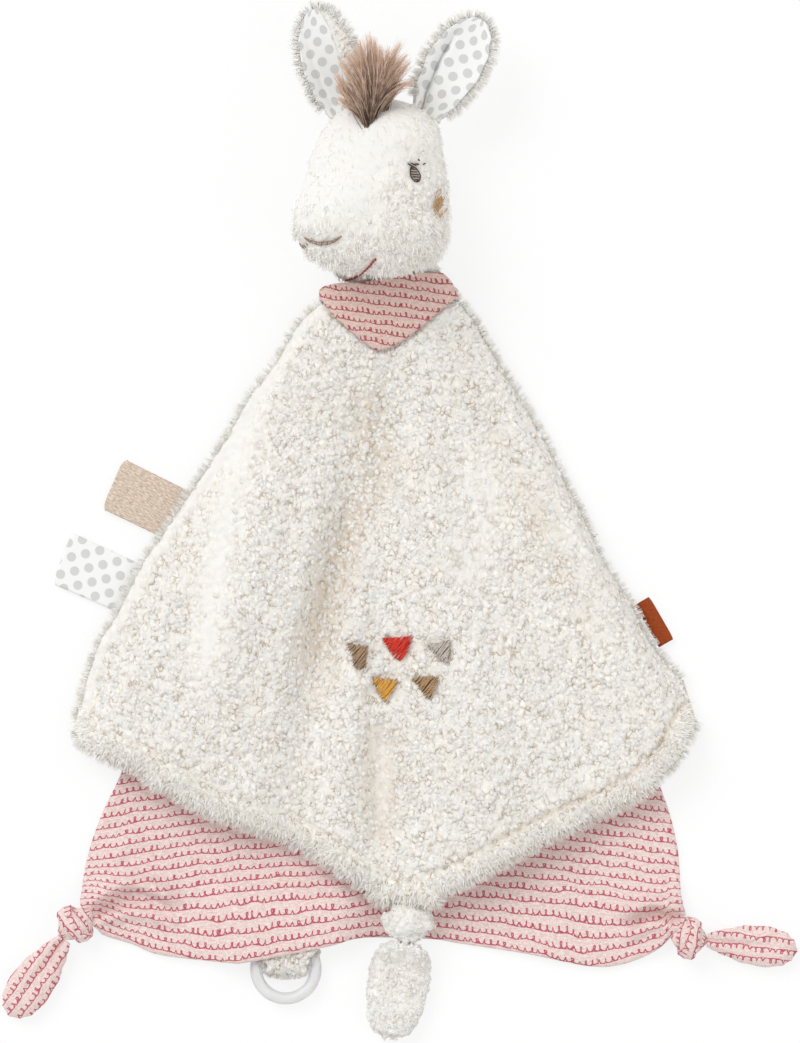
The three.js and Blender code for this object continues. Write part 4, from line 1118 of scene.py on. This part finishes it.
# %% Fill it
def filled(pad, pressure, most):
    """Swells a closed pad with inner pressure, no point further than most, in millimetres."""
    start = points_of(pad)
    modifier = pad.modifiers.new("filling", "CLOTH")
    modifier.settings.use_pressure = True
    modifier.settings.uniform_pressure_force = pressure
    modifier.settings.effector_weights.gravity = 0
    modifier.collision_settings.use_collision = False
    modifier.point_cache.frame_end = 20
    for number in range(1, 21):
        bpy.context.scene.frame_set(number)
    alone(pad)
    bpy.ops.object.modifier_apply(modifier=modifier.name)
    move = points_of(pad) - start
    length = np.linalg.norm(move, axis=1, keepdims=True)
    move *= np.minimum(1, most / np.maximum(length, 1e-6))
    bpy.context.scene.frame_set(1)
    print(pad.name, "moved up to", round(float(length.max()), 1), "mm, kept to", most)
    return put(pad, start + move)


filled(head, 4.0, 3.0)
applied(head, "SMOOTH", factor=0.5, iterations=2)
applied(head, "SUBSURF", levels=1, render_levels=1)
points = raised(points_of(head), TABLE_GAP)
points[:, 0] -= 3.4 * soft(-points[:, 0], 8, 42) * soft(points[:, 1], 118, 140)
put(head, points)
applied(head, "SUBSURF", levels=1, render_levels=1)
print("head of", len(head.data.vertices), "points")


# %% Places on the head
def tree_of(obj):
    """A search tree of a surface."""
    return BVHTree.FromObject(obj, bpy.context.evaluated_depsgraph_get())


def landed(tree, starts, rays):
    """Where rays from the starts first meet a surface, or else the nearest place on it, and its normals."""
    places, normals = [], []
    for start, ray in zip(starts, rays):
        spot, normal, _, _ = tree.ray_cast(Vector(start) * MM, Vector(ray).normalized())
        if spot is None:
            spot, normal, _, _ = tree.find_nearest(Vector((start[0], start[1], min(start[2], 60.0))) * MM)
        places.append(np.array(spot) / MM)
        normals.append(np.array(normal))
    return np.array(places), np.array(normals)


head_tree = tree_of(head)


def from_above(tree):
    """Lays flat places on what is below them."""
    down = (0, 0, -1)
    return lambda flat: landed(tree, np.column_stack([flat, np.full(len(flat), 200.0)]), [down] * len(flat))


on_head = from_above(head_tree)
sideways = np.array([0.585, 0, 0.811])
sideways /= np.linalg.norm(sideways)
heart_row = heart + NECK3


def on_far_cheek(flat):
    """The mirror places on the side of the face that is turned away."""
    seen, _ = on_head(flat)
    hidden = seen - 2 * ((seen - heart_row) @ sideways)[:, None] * sideways
    starts = heart_row + (hidden - heart_row) * 2.2
    return landed(head_tree, starts, heart_row - starts)


eye_at = (7.4, 179.2)
cheek_at = (19.3, 163.5)
nostril_curve = [(-48.9, 146.6), (-43.7, 143.8), (-38.5, 143.3), (-33.3, 144.8), (-29.6, 147.6)]
nostril_line = smooth_line(nostril_curve, 40)
mouth_line = smooth_line([(-28.3, 125.8), (-23.5, 127.0), (-18.0, 130.0), (-12.2, 136.0)], 40)
face_spots = np.vstack([on_head(np.array([eye_at]))[0], on_far_cheek(np.array([eye_at]))[0],
                        on_head(np.array([cheek_at]))[0]])
face_lines = np.vstack([on_head(nostril_line)[0], on_head(mouth_line)[0], on_far_cheek(nostril_line)[0]])
points = points_of(head)
to_spots = np.min([np.linalg.norm(points - spot, axis=1) for spot in face_spots], axis=0)
to_lines = np.min([np.linalg.norm(points - spot, axis=1) for spot in face_lines], axis=0)
dip = 1.3 * np.exp(-(to_spots / 5) ** 2) + 1.2 * np.exp(-(to_lines / 2.5) ** 2)
put(head, points - normals_of(head) * dip[:, None])
head_tree = tree_of(head)
on_head = from_above(head_tree)
head_weights = soft(to_spots, 3, 6) * soft(to_lines, 0.5, 2.5) * soft(points[:, 2], TABLE_GAP, 3)
brushed = soft(-points[:, 0], -8, 26) * soft(points[:, 1], 140, 160) + 0.6 * soft(points[:, 1], 165, 195)
brushed = np.clip(brushed, 0, 1)
pile(head, head_weights * (1 - 0.5 * brushed), curl=0.0015, fibre=0.0007)
points = points_of(head)
marked(head, "calm", 0.35 + 0.6 * brushed)
dressed(head, cream_sherpa, "head", "sherpa_pile", "head_shell", "head_stuffing")
odds = np.where((head_weights > 0.8) & (points[:, 1] > 126), (1 - brushed) ** 2 + 0.01, 0)
chosen = chance.choice(len(points), 1900, replace=False, p=odds / odds.sum())
curls("head_curls", head, chosen, 0.85, fluff, "head")
clear = (to_spots > 6) & (to_lines > 5) & (points[:, 1] > 124)
odds = np.where(clear, 0.25 + soft(-points[:, 1], -175, -145), 0)
chosen = chance.choice(len(points), 3000, replace=False, p=odds / odds.sum())
combed("head_nap", head, chosen, 0.55, (0.1, -0.9, -0.1), 0.35, (2.2, 4.2), 0.3, 0.7, "head")

# %% [markdown]
# ## Embroidery
# The eye, nose, mouth, cheeks and the little pennants are satin stitch: threads of about 0.4 mm laid
# side by side, drawn half a millimetre to a millimetre wide so that they close up. One spindle is
# modelled once and copied for every thread, so that each catches the light by itself and dives into
# the pile at its ends.

# %% Thread by thread
spindle = template_of("thread_shape", lambda: bpy.ops.mesh.primitive_uv_sphere_add(
    segments=6, ring_count=5, radius=0.0005, rotation=(0, math.pi / 2, 0)))


def stitches(name, starts, ends, laying, width, lift, material, body, slot, *nodes):
    """One thread for each pair of flat places, laid on a surface."""
    a, up_a = laying(starts)
    b, up_b = laying(ends)
    ups = unit(up_a + up_b)
    a, b = a + lift * ups, b + lift * ups
    along = b - a
    fronts = unit(np.cross(ups, along))
    ups = unit(np.cross(along, fronts))
    made = copies(name, spindle, (a + b) / 2, along * 1.04, fronts * width, ups * width * 0.8)
    return dressed(made, material, body, slot, *nodes)


def satin(count, length, width, slant, turn, middle):
    """Side-by-side threads across a pointed oval."""
    t = np.linspace(-0.94, 0.94, count)
    half = width / 2 * np.maximum(1 - t * t, 0.03) ** 0.75 * (1 - 0.2 * t)
    starts = np.column_stack([-half, t * length / 2 - slant * half])
    ends = np.column_stack([half, t * length / 2 + slant * half])
    cos, sin = math.cos(turn), math.sin(turn)
    spin = np.array([[cos, sin], [-sin, cos]])
    return starts @ spin + middle, ends @ spin + middle


def backstitch(line, step):
    """Ends of the threads of a sewn line."""
    return line[:-step:step], line[step::step]


eye_turn = math.radians(22)
eye_rim = satin(24, 9.2, 4.8, 0.0, eye_turn, np.array(eye_at))
eye_rim = np.vstack([eye_rim[0], eye_rim[1][::-1], eye_rim[0][:1]])
lashes = np.array([((3.6, 184.6), (6.2, 183.4)), ((5.2, 185.0), (8.2, 183.6)), ((9.0, 187.2), (9.8, 186.0)),
                   ((11.4, 184.2), (12.9, 185.0)), ((7.2, 184.6), (9.8, 184.4))])
eye_starts = np.vstack([eye_rim[:-1], lashes[:, 0]])
eye_ends = np.vstack([eye_rim[1:], lashes[:, 1]])
iris = satin(17, 8.4, 4.0, -0.45, eye_turn, np.array(eye_at))
bright = [3, 6, 9, 12]
pupil = [np.delete(part, bright, axis=0) for part in iris]
flecks = [part[bright] for part in iris]
cheek_spread = chance.normal(size=(64, 2)) * (1.5, 3.4)
cheek_starts = np.array(cheek_at) + cheek_spread
cheek_ends = cheek_starts + chance.normal(size=(64, 2)) * 0.5 + (0.9, 1.9)
swell = np.sin(np.linspace(0, np.pi, 40))[:, None] * (0, 1)
nose_low, nose_high = nostril_line - 0.5 * swell, nostril_line + 1.3 * swell
nose = [np.vstack([nose_low[:-2:2], nose_high[:-2:2], nose_low[2:-2:5]]),
        np.vstack([nose_low[2::2], nose_high[2::2], nose_high[3:-1:5]])]
mouth = backstitch(mouth_line, 3)
for side, laying in [("right", on_head), ("left", on_far_cheek)]:
    shown = slice(None) if side == "right" else slice(29, None)
    for title, starts, ends, width, lift, colour, slot, nodes in [
        ("_eye", eye_starts, eye_ends, 0.9, 0.7, "dark", "dark_thread", [side + "_eye"]),
        ("_iris", *pupil, 0.55, 0.5, "iris", "dark_thread", []),
        ("_glint", *flecks, 0.5, 0.75, "grey", "grey_thread", []),
        ("_cheek", cheek_starts, cheek_ends, 0.5, 0.9, "peach", "peach_thread", [side + "_cheek"]),
        ("_nostril", nose[0][shown], nose[1][shown], 0.8, 0.8, "brown", "brown_thread", [side + "_nostril"]),
    ]:
        stitches(side + title + "_threads", starts, ends, laying, width, lift, threads[colour], "head",
                 slot, *nodes)
stitches("mouth_threads", *mouth, on_head, 1.2, 0.8, threads["crimson"], "head", "crimson_thread", "mouth")


def on_square(flat):
    """Lays flat places on the sherpa square's smooth top."""
    spread = np.column_stack([flat, np.zeros(len(flat))])
    heights = sherpa_over(spread) - 0.9
    slope_x = (sherpa_over(spread + (0.5, 0, 0)) - sherpa_over(spread - (0.5, 0, 0)))
    slope_y = (sherpa_over(spread + (0, 0.5, 0)) - sherpa_over(spread - (0, 0.5, 0)))
    return np.column_stack([flat, heights]), unit(np.column_stack([-slope_x, -slope_y, np.ones(len(flat))]))


def across_pennant(at, corners, slant):
    """Where a slanted thread enters and leaves a pennant, in the pennant's own flat."""
    normal = np.array([-math.sin(slant), math.cos(slant)])
    hits = []
    for p, q in zip(corners, np.roll(corners, -1, axis=0)):
        before, after = p @ normal - at, q @ normal - at
        if before * after < 0:
            hits.append(p + (q - p) * before / (before - after))
    return hits


for colour, corners in pennants.items():
    corners = np.array(corners)
    middle = corners.mean(axis=0)
    # The lower layer is laid in the darker _under copies of each colour, painted shade between the upper
    # threads.
    for layer, slant, start, step, lift in [("_under", 44, -14.0, 0.8, 0.9), ("", 51, -13.6, 0.78, 1.5)]:
        places = np.arange(start, 14, step)
        pairs = [across_pennant(at, corners - middle, math.radians(slant)) for at in places]
        pairs = [pair for pair in pairs if len(pair) == 2 and np.linalg.norm(pair[1] - pair[0]) > 0.8]
        starts, ends = (pairs + middle + chance.normal(0, 0.35, (len(pairs), 2, 2))).transpose(1, 0, 2)
        nodes = [] if layer else ["pennant_" + colour]
        stitches("pennant_" + colour + layer + "_threads", starts, ends, on_square, 0.85, lift,
                 threads[colour + layer], "cloths", colour + "_thread", *nodes)

# %% [markdown]
# ## Ears
# Each ear is a leaf of sherpa with a dotted cotton lining sewn on, cupped along its length. The
# back is lofted a little larger than the lining, and its pile shows as a fringe round the edge.

# %% Loft the ears
ear_outline = [(0, 0.5), (0.25, 0.86), (0.5, 1), (0.72, 0.92), (0.88, 0.68), (0.97, 0.4), (1, 0.16)]


def ear_grid(length, width, height, lean, root, rows, columns, fold, right=1.0, rolled=0.0):
    """A cupped leaf of rows and columns, turned about its root, whose right edge may be rolled over."""
    v, u = net((0, 1, rows), (-1, right, columns))
    half = width / 2 * through(ear_outline, v)
    x = u * half
    slim = 0.35 + 0.65 * soft(v, 0, 0.35)
    z = 4 * (x / 15.5) ** 2 * slim + height * slim
    groove = (x + (0.42 + 0.28 * v) * half) / 1.4
    z = z - fold * np.exp(-(groove**2)) * (1 - soft(v, 0.55, 0.85))
    z = z + 0.5 * fold * soft(-groove, 0, 3) * (1 - v)
    z = z + rolled * soft(u, 0.2, 0.55) * soft(v, 0, 0.15)
    return turned(x, v * length, z, lean, root)


ears = {
    "left": (15, np.array([-29.56, 210.87, 29.77]), 0.4, 31, 0.42, 2.6),
    "right": (-31, np.array([13.27, 211.29, 29.73]), 5.0, 33, 0.94, 0.0),
}
for side, (lean, root, fold, width, right, rolled) in ears.items():
    grid = ear_grid(57.5, width - 1.5, -1.0, lean, root, 56, 34, fold, rolled=rolled)
    back = loft(side + "_ear_sherpa", grid)
    applied(back, "SOLIDIFY", thickness=0.0022, offset=0)
    outward(back)
    pile(back, np.full(len(back.data.vertices), 0.8), curl=0.0012, fibre=0.0006)
    dressed(back, fluff, side + "_ear", "sherpa_pile", side + "_ear_back")
    grid = ear_grid(57, width - 3, 1.5, lean, root, 50, 30, fold, right)
    face = loft(side + "_ear_cotton", grid, (14 + 14 * right, 57))
    applied(face, "SOLIDIFY", thickness=0.0008, offset=0)
    dressed(face, dotted_cotton, side + "_ear", "dotted_cotton", side + "_ear_lining")
    grid = ear_grid(58, width - 1, 0.0, lean, root, 60, 3, fold, rolled=rolled)
    dense = smooth_line(np.vstack([grid[5:, 0], grid[-1:, 1], grid[::-1][:-5, 2]]), 400)

    def on_edge(flat, dense=dense):
        """The height of the rim nearest to each place."""
        return dense[[int(np.argmin(np.linalg.norm(dense[:, :2] - spot, axis=1))) for spot in flat], 2]

    fringe(side + "_ear_fringe", dense[:, :2], on_edge, 1300, 4.0, side + "_ear")
    places = points_of(back)
    local_x = (places[:, :2] - root[:2]) @ (math.cos(math.radians(lean)), math.sin(math.radians(lean)))
    shell = np.flatnonzero((normals_of(back)[:, 2] < 0) | ((local_x > 6.5) & (rolled > 0)))
    curls(side + "_ear_curls", back, chance.choice(shell, 480, replace=False), 0.9, fluff, side + "_ear")

# %% [markdown]
# ## Forelock
# Long acrylic pile is sewn to the forehead in one narrow patch and fans out. Each fibre is a slim
# tapered tube on a bent line, and fibres share a tip in locks, as brushed pile does.

# %% Fan out the hair
tuft_tips = np.array([(-32.2, 218.7), (-33.0, 226.2), (-33.0, 231.7), (-31.2, 238.4), (-28.1, 242.2),
                      (-24.3, 245.2), (-21.2, 248.3), (-16.3, 252.1), (-13.5, 249.9), (-9.8, 246.0),
                      (-5.6, 245.0), (0.9, 249.1), (4.0, 241.8), (5.5, 237.6), (7.0, 227.7),
                      (-27.0, 228.0), (-20.0, 236.0), (-12.0, 238.0), (-3.0, 238.0), (-25.0, 220.0),
                      (0.0, 231.0)])
foot = np.array([-17.2, 202.8])
crown = np.array([-9.0, 222.0])
per_lock = 85
tip_of = np.repeat(np.arange(len(tuft_tips)), per_lock)
count = len(tip_of)
spread = chance.normal(0, 1, (count, 2)) * chance.uniform(0.4, 1.7, (count, 1))
tips2 = tuft_tips[tip_of] + spread
tips2 += (foot - tips2) * chance.uniform(0, 0.3, (count, 1)) ** 1.5
start_share = chance.uniform(0, 1, (count, 1))
right_hand = soft(tuft_tips[tip_of][:, :1], -22, 4)
roots2 = foot + (crown - foot) * start_share * (0.3 + 0.7 * right_hand)
towards = (tuft_tips[tip_of] - foot) * 0.2 * chance.uniform(0, 1, (count, 1))
roots2 += towards + chance.normal(0, 0.8, (count, 2))
root3, root_normals = on_head(roots2)
tips3 = np.column_stack([tips2, np.clip(root3[:, 2] + chance.uniform(-5, 6, count), 44, 64)])
middles3 = 0.5 * (root3 + tips3)
middles3[:, 2] = np.maximum(middles3[:, 2], root3[:, 2]) + chance.uniform(1, 6, count)
bend = np.column_stack([-(tips3 - root3)[:, 1], (tips3 - root3)[:, 0], np.zeros(count)])
lean = soft(tips3[:, 0], -30, 4) * 2 - 1
per_curl = chance.normal(0, 0.08, len(tuft_tips))[tip_of]
middles3 += bend * (0.13 * lean + per_curl + chance.normal(0, 0.04, count))[:, None]
forelock = strands("forelock_strands", root3 - 0.5 * root_normals, middles3, tips3, 0.5, steps=6)
dressed(forelock, forelock_hair, "head", "mane_pile", "forelock")

# %% [markdown]
# ## Neckerchief
# A strip of the printed jersey goes round the neck and runs down to a point in front. It is lofted
# as one closed band, laid on the sherpa in front, and thickened as a doubled cloth.

# %% Wrap the scarf
columns = 161
rows = 26
turn = np.linspace(0, 2 * np.pi, columns)
left_x, right_x = -41.0, 29.2
mid_x, half_x = (left_x + right_x) / 2, (right_x - left_x) / 2
across = mid_x + half_x * np.cos(turn)
front = np.sin(turn) > 0
top_curve = smooth_line(scarf_top, 200)
low_curve = smooth_line(scarf_bottom[::-1], 200)
top_y = np.interp(across, top_curve[:, 0], top_curve[:, 1])
low_y = np.interp(across, low_curve[:, 0], low_curve[:, 1])
top_y = np.where(front, np.minimum(top_y, 125.0 + 4.3 * soft(across, -20, 14)), 123.0)
low_y = np.where(front, np.minimum(low_y, top_y - 4.5), 117.8)
at_side = (1 - soft(np.abs(np.sin(turn)), 0, 0.45)) * 0.9
top_y = top_y * (1 - at_side) + 120.2 * at_side
low_y = low_y * (1 - at_side) + 115.8 * at_side
scarf_crease = [(-30.0, 122.0), (-8.0, 112.0), (6.0, 98.0)]
scarf_points = np.empty((rows, columns, 3))
for i, share in enumerate(np.linspace(0, 1, rows)):
    y = top_y + (low_y - top_y) * share
    flat = np.column_stack([across, y, np.zeros(columns)])
    band = 13 + 11.9 * np.sin(turn)
    on_top = sherpa_over(flat) + 0.3
    over_share = soft(NECK[1] - y, -2, 6)
    blended = band * (1 - over_share) + on_top * over_share
    z = np.where(front, np.maximum(blended, np.minimum(on_top, band)), band)
    puff = 1.6 * np.sin(np.pi * share) * np.abs(np.sin(turn))
    z = z + front * puff - front * crease(flat, scarf_crease, 1.4, 3.5)
    side_fall = np.clip(1 - np.abs(np.sin(turn)) * 4, 0, 1) * front
    z = z * (1 - side_fall) + band * side_fall
    scarf_points[i] = np.column_stack([across, y, z])
scarf = loft("neckerchief_cloth", scarf_points)
applied(scarf, "SOLIDIFY", thickness=0.0014, offset=0.6)
outward(scarf)
mapped(scarf, lambda p: (p[:, 0] + 0.14 * p[:, 1], p[:, 1] + 0.13 * p[:, 0]))
dressed(scarf, scarf_jersey, "cloths", "printed_jersey", "neckerchief")

# %% [markdown]
# ## Knots and tails
# The corners are tied in overhand knots. A knot is a lump pinched at both ends with a band drawn
# slantwise round it; the free corner behind it is a leaf with a crease down its middle.

# %% Tie the knots
KNOT_HEIGHT = 8.4


def knot(name, place, height, size, heading, seed, rows=48, columns=56):
    """A tied lump: length, width and height along its heading."""
    t, spin = net((0, 1, rows), (0, 2 * np.pi, columns))
    shifted = t + 0.13 * np.sin(spin + seed)
    body = np.sin(np.pi * t) ** 0.62
    band = np.exp(-(((shifted - 0.5) / 0.27) ** 4))
    groove = np.exp(-(((shifted - 0.2) / 0.045) ** 2)) + np.exp(-(((shifted - 0.8) / 0.045) ** 2))
    wrinkles = 0.05 * np.cos(7 * spin + seed) * (1 - band)
    wrinkles = wrinkles + 0.035 * np.cos(2 * np.pi * 2.6 * shifted + seed) * band
    radius = body * (0.86 + 0.14 * band - 0.13 * groove * (body > 0.3) + wrinkles)
    length, width, tall = size
    local_y = (0.5 - t) * length
    local_x = radius * width / 2 * np.cos(spin)
    local_z = radius * tall / 2 * np.sin(spin)
    grid = turned(local_x, local_y, local_z, heading, (*place, height))
    return loft(name, raised(grid, TABLE_GAP), (0.9 * math.pi * (width + tall) / 2, length * 1.25))


slim_leaf = [(0, 0.34), (0.08, 0.48), (0.2, 0.66), (0.42, 0.92), (0.66, 1), (0.84, 0.84), (0.94, 0.54),
             (1, 0.06)]
full_leaf = [(0, 0.5), (0.06, 0.76), (0.15, 0.93), (0.32, 1), (0.56, 0.97), (0.8, 0.84), (0.93, 0.64),
             (1, 0.2)]


def tail(name, root, size, heading, fall, crease_depth, outline=slim_leaf, rows=60, columns=64):
    """A free corner: a leaf that leaves the knot and comes down to lie flat."""
    length, width, tall = size
    t, spin = net((0, 1, rows), (0, 2 * np.pi, columns))
    half = through(outline, t)
    x = width / 2 * half * np.cos(spin)
    thick = tall / 2 * np.minimum(1, half * 1.3) * soft(1.04 - t, 0, 0.12)
    thick = thick * np.sign(np.sin(spin)) * np.abs(np.sin(spin)) ** 0.8
    top = np.sin(spin) > 0
    valley = crease_depth * np.exp(-((np.cos(spin) / 0.22) ** 2)) * (1 - soft(t, 0.35, 0.95)) * top
    ripple = 0.35 * np.cos(9 * np.cos(spin) + 3 * t) * (1 - soft(t, 0, 0.5)) * top
    z = thick - valley + ripple - fall * soft(t, 0, 0.3)
    return loft(name, raised(turned(x, t * length, z, heading, root), TABLE_GAP))


def on_tail(root, heading):
    """The print's place on a tail: its rows run along it."""
    cos, sin = math.cos(math.radians(heading)), math.sin(math.radians(heading))

    def place(points):
        """Where points of the tail lie in the print."""
        x, y = points[:, 0] - root[0], points[:, 1] - root[1]
        return -x * sin + y * cos, x * cos + y * sin + 1.2
    return place


def wrap(name, place, height, size, heading, tilt, width=7.5, thick=3.6, rows=72, columns=20):
    """The turn of cloth that goes slantwise round a knot of this width and height."""
    across, tall = size
    around, section = net((0, 2 * np.pi, rows), (0, 2 * np.pi, columns))
    swell = 1 + 0.16 * np.sin(2 * around + 0.7) + 0.08 * np.sin(5 * around)
    reach = thick / 2 * np.cos(section) * (1 + 0.12 * np.cos(6 * section))
    local_y = width / 2 * swell * np.sin(section) + tilt * np.sin(around + 0.5)
    local_x = (across / 2 + reach - thick * 0.45) * np.cos(around)
    local_z = (tall / 2 + reach - thick * 0.45) * np.sin(around)
    grid = raised(turned(local_x, local_y, local_z, heading, (*place, height)), TABLE_GAP)
    return loft(name, grid.transpose(1, 0, 2), (math.pi * (across + tall) / 2, 2 * width))


knotted = []
for side, place, size, heading, seed, wrap_size, wrap_heading, tilt in [
    ("left", (-169.2, -209.7), (21.5, 18, 13.5), 128, 0.6, (21, 15.5), 118, 2.6),
    ("right", (150.7, -217.1), (19.5, 18.5, 13.5), -100, 2.1, (21.5, 15.5), -112, 2.4),
]:
    lump = knot(side + "_knot_jersey", place, KNOT_HEIGHT, size, heading, seed)
    dressed(lump, looped_jersey, "cloths", "printed_jersey", side + "_knot")
    band = wrap(side + "_knot_wrap", place, KNOT_HEIGHT, wrap_size, wrap_heading, tilt)
    dressed(band, looped_jersey, "cloths", "printed_jersey")
    knotted += [lump, band]
for side, root, size, heading, crease_depth in [
    ("left", (-175.0, -217.9, 8.64), (49.5, 23, 10), 144, 3.0),
    ("right", (160.2, -218.1, 8.64), (47.5, 21.5, 9), -97, 2.2),
]:
    free_end = tail(side + "_tail_jersey", np.array(root), size, heading, 4.2, crease_depth)
    mapped(free_end, on_tail(root, heading))
    dressed(free_end, looped_jersey, side + "_tail", "printed_jersey", side + "_tail")

# %% Sherpa knot and tail
front_knot = knot("front_knot_sherpa", (4.2, -208.2), 12.5, (24, 28, 17), 172, 1.2)
applied(front_knot, "SUBSURF", levels=1, render_levels=1)
pile(front_knot, np.full(len(front_knot.data.vertices), 0.8), curl=0.0020)
dressed(front_knot, fluff, "cloths", "sherpa_pile", "front_knot")
root = np.array([2.64, -219.83, 12.48])
front_tail = tail("front_tail_sherpa", root, (50, 32, 11), 170.5, 6.4, 1.5, full_leaf, rows=70, columns=90)
pile(front_tail, np.full(len(front_tail.data.vertices), 0.8), curl=0.0020)
dressed(front_tail, fluff, "front_tail", "sherpa_pile", "front_tail")
for obj, body, count in [(front_knot, "cloths", 420), (front_tail, "front_tail", 880)]:
    top = np.flatnonzero(points_of(obj)[:, 2] > 3)
    chosen = chance.choice(top, count, replace=False)
    curls(obj.name + "_curls", obj, chosen, 0.78, fluff, body)

# %% [markdown]
# ## Ribbons
# The tags are ribbons folded in half and caught in the seam. Each is a strip lofted along its fold
# and given its thickness; only the velour has a nap that stands up.


# %% Fold the ribbons
def ribbon(name, place, out, size, ply, slant, skew, material, body, slot, node):
    """A folded strip: length and width, laid from its seam outwards, with its end cut at a slant."""
    length, width = size
    out = np.array([*out, 0.0])
    side = np.array([-out[1], out[0], 0.0])
    radius = 0.2 + ply / 2
    start = 0.2 + ply
    run = np.linspace(start, length - radius - ply / 2, 30)
    arc = np.linspace(-np.pi / 2, np.pi / 2, 12)
    s = np.r_[run, length - radius - ply / 2 + radius * np.cos(arc), run[::-1]]
    z = np.r_[np.full(30, -radius), radius * np.sin(arc), np.full(30, radius)]
    puff = np.sin(np.clip((s - start) / (length - start), 0, 1) * np.pi) * 0.35
    z = z + np.sign(z) * puff * (np.abs(z) >= radius * 0.99)
    t = np.linspace(-width / 2, width / 2, 24)
    stretch = 1 - skew * t / length - 0.05 * (np.abs(t) / (width / 2)) ** 8
    s, t, z = s[:, None, None], t[None, :, None], z[:, None, None]
    grid = place + s * stretch[None, :, None] * out + (t + slant * s) * side + z * np.array([0, 0, 1.0])
    strip = loft(name, raised(grid, 0.1 + ply / 2), (width, 2 * length))
    applied(strip, "SOLIDIFY", thickness=ply * MM, offset=0)
    mapped(strip, lambda p: ((p - place) @ out, (p - place) @ side))
    dressed(strip, material, body, slot, node)


left_seam = (-0.84532, 0.53426)
right_seam = (0.86672, 0.4988)
ribbon("velour_ribbon", (-114.31, 2.38, 1.4), left_seam, (39.5, 28), 1.2, 0.105, 0.157,
       velour, "velour_tag", "velour_ribbon", "velour_tag")
ribbon("dotted_ribbon", (-138.35, -36.22, 1.1), left_seam, (41.5, 28), 0.9, 0.134, 0.208,
       dotted_cotton, "dotted_tag", "dotted_cotton", "dotted_tag")
ribbon("label_ribbon", (128.31, -54.92, 2.16), right_seam, (9.5, 25.5), 0.4, 0.0, 0.0,
       twill, "woven_label", "woven_ribbon", "woven_label")

# %% [markdown]
# ## The ring and its loop
# The ring is moulded plastic with a fine parting line. It hangs in a flat loop of sherpa that is
# sewn behind the hem and narrows towards its fold.

# %% Ring and strap
RING = 15.5
RING_BAR = 3.0
STRAP_HEIGHT = 5.1
STRAP_TURN = 4.2
alone()
bpy.ops.mesh.primitive_torus_add(major_segments=96, minor_segments=28, major_radius=RING * MM,
                                 minor_radius=RING_BAR * MM)
ring = bpy.context.object
ring.name = "ring_plastic"
points = points_of(ring)
reach = np.linalg.norm(points[:, :2], axis=1)
parting = 0.12 * np.exp(-(points[:, 2] / 0.25) ** 2) * np.sign(reach - RING)
points[:, :2] *= (1 + parting / reach)[:, None]
put(ring, points + (-59.52, -233.26, STRAP_HEIGHT))
dressed(ring, milky_plastic, "ring", "translucent_plastic", "plastic_ring")

angle = np.r_[np.linspace(np.pi / 2, -np.pi / 2, 14), np.linspace(1.5 * np.pi, np.pi / 2, 14)]
reach = 27 - 2 * STRAP_HEIGHT
turn_y = np.repeat([0, -reach], 14)
path = np.column_stack([turn_y + STRAP_TURN * np.cos(angle), STRAP_TURN * np.sin(angle)])
path = smooth_line(np.vstack([path, path[:1]]), 90)
half = 20.5 - 11 * np.clip(-path[:, 0] / reach, 0, 1) ** 1.6
x = STRAP[0] + half[:, None] * np.linspace(-1, 1, 40)
grid = np.stack(np.broadcast_arrays(x, STRAP[1] + path[:, :1], STRAP_HEIGHT + path[:, 1:]), axis=-1)
strap = loft("strap_sherpa", grid)
applied(strap, "SOLIDIFY", thickness=0.0018, offset=0)
outward(strap)
pile(strap, np.full(len(strap.data.vertices), 0.6), curl=0.0016, lowest=0.2)
dressed(strap, cream_sherpa, "strap", "sherpa_pile", "ring_strap")
top = np.flatnonzero(normals_of(strap)[:, 2] > -0.3)
curls("strap_curls", strap, chance.choice(top, 420, replace=False), 1.3, cream_sherpa, "strap")
low_edge = smooth_line([(STRAP[0] + 17, STRAP[1] - 8), (STRAP[0] + 9, STRAP[1] - reach - 4),
                        (STRAP[0] - 9, STRAP[1] - reach - 4), (STRAP[0] - 17, STRAP[1] - 8)], 120)
fringe("strap_fringe", low_edge[::-1], lambda p: np.full(len(p), 6.5), 1100, 8.5, "strap")
for template in (curl_template, spindle):
    bpy.data.objects.remove(template)
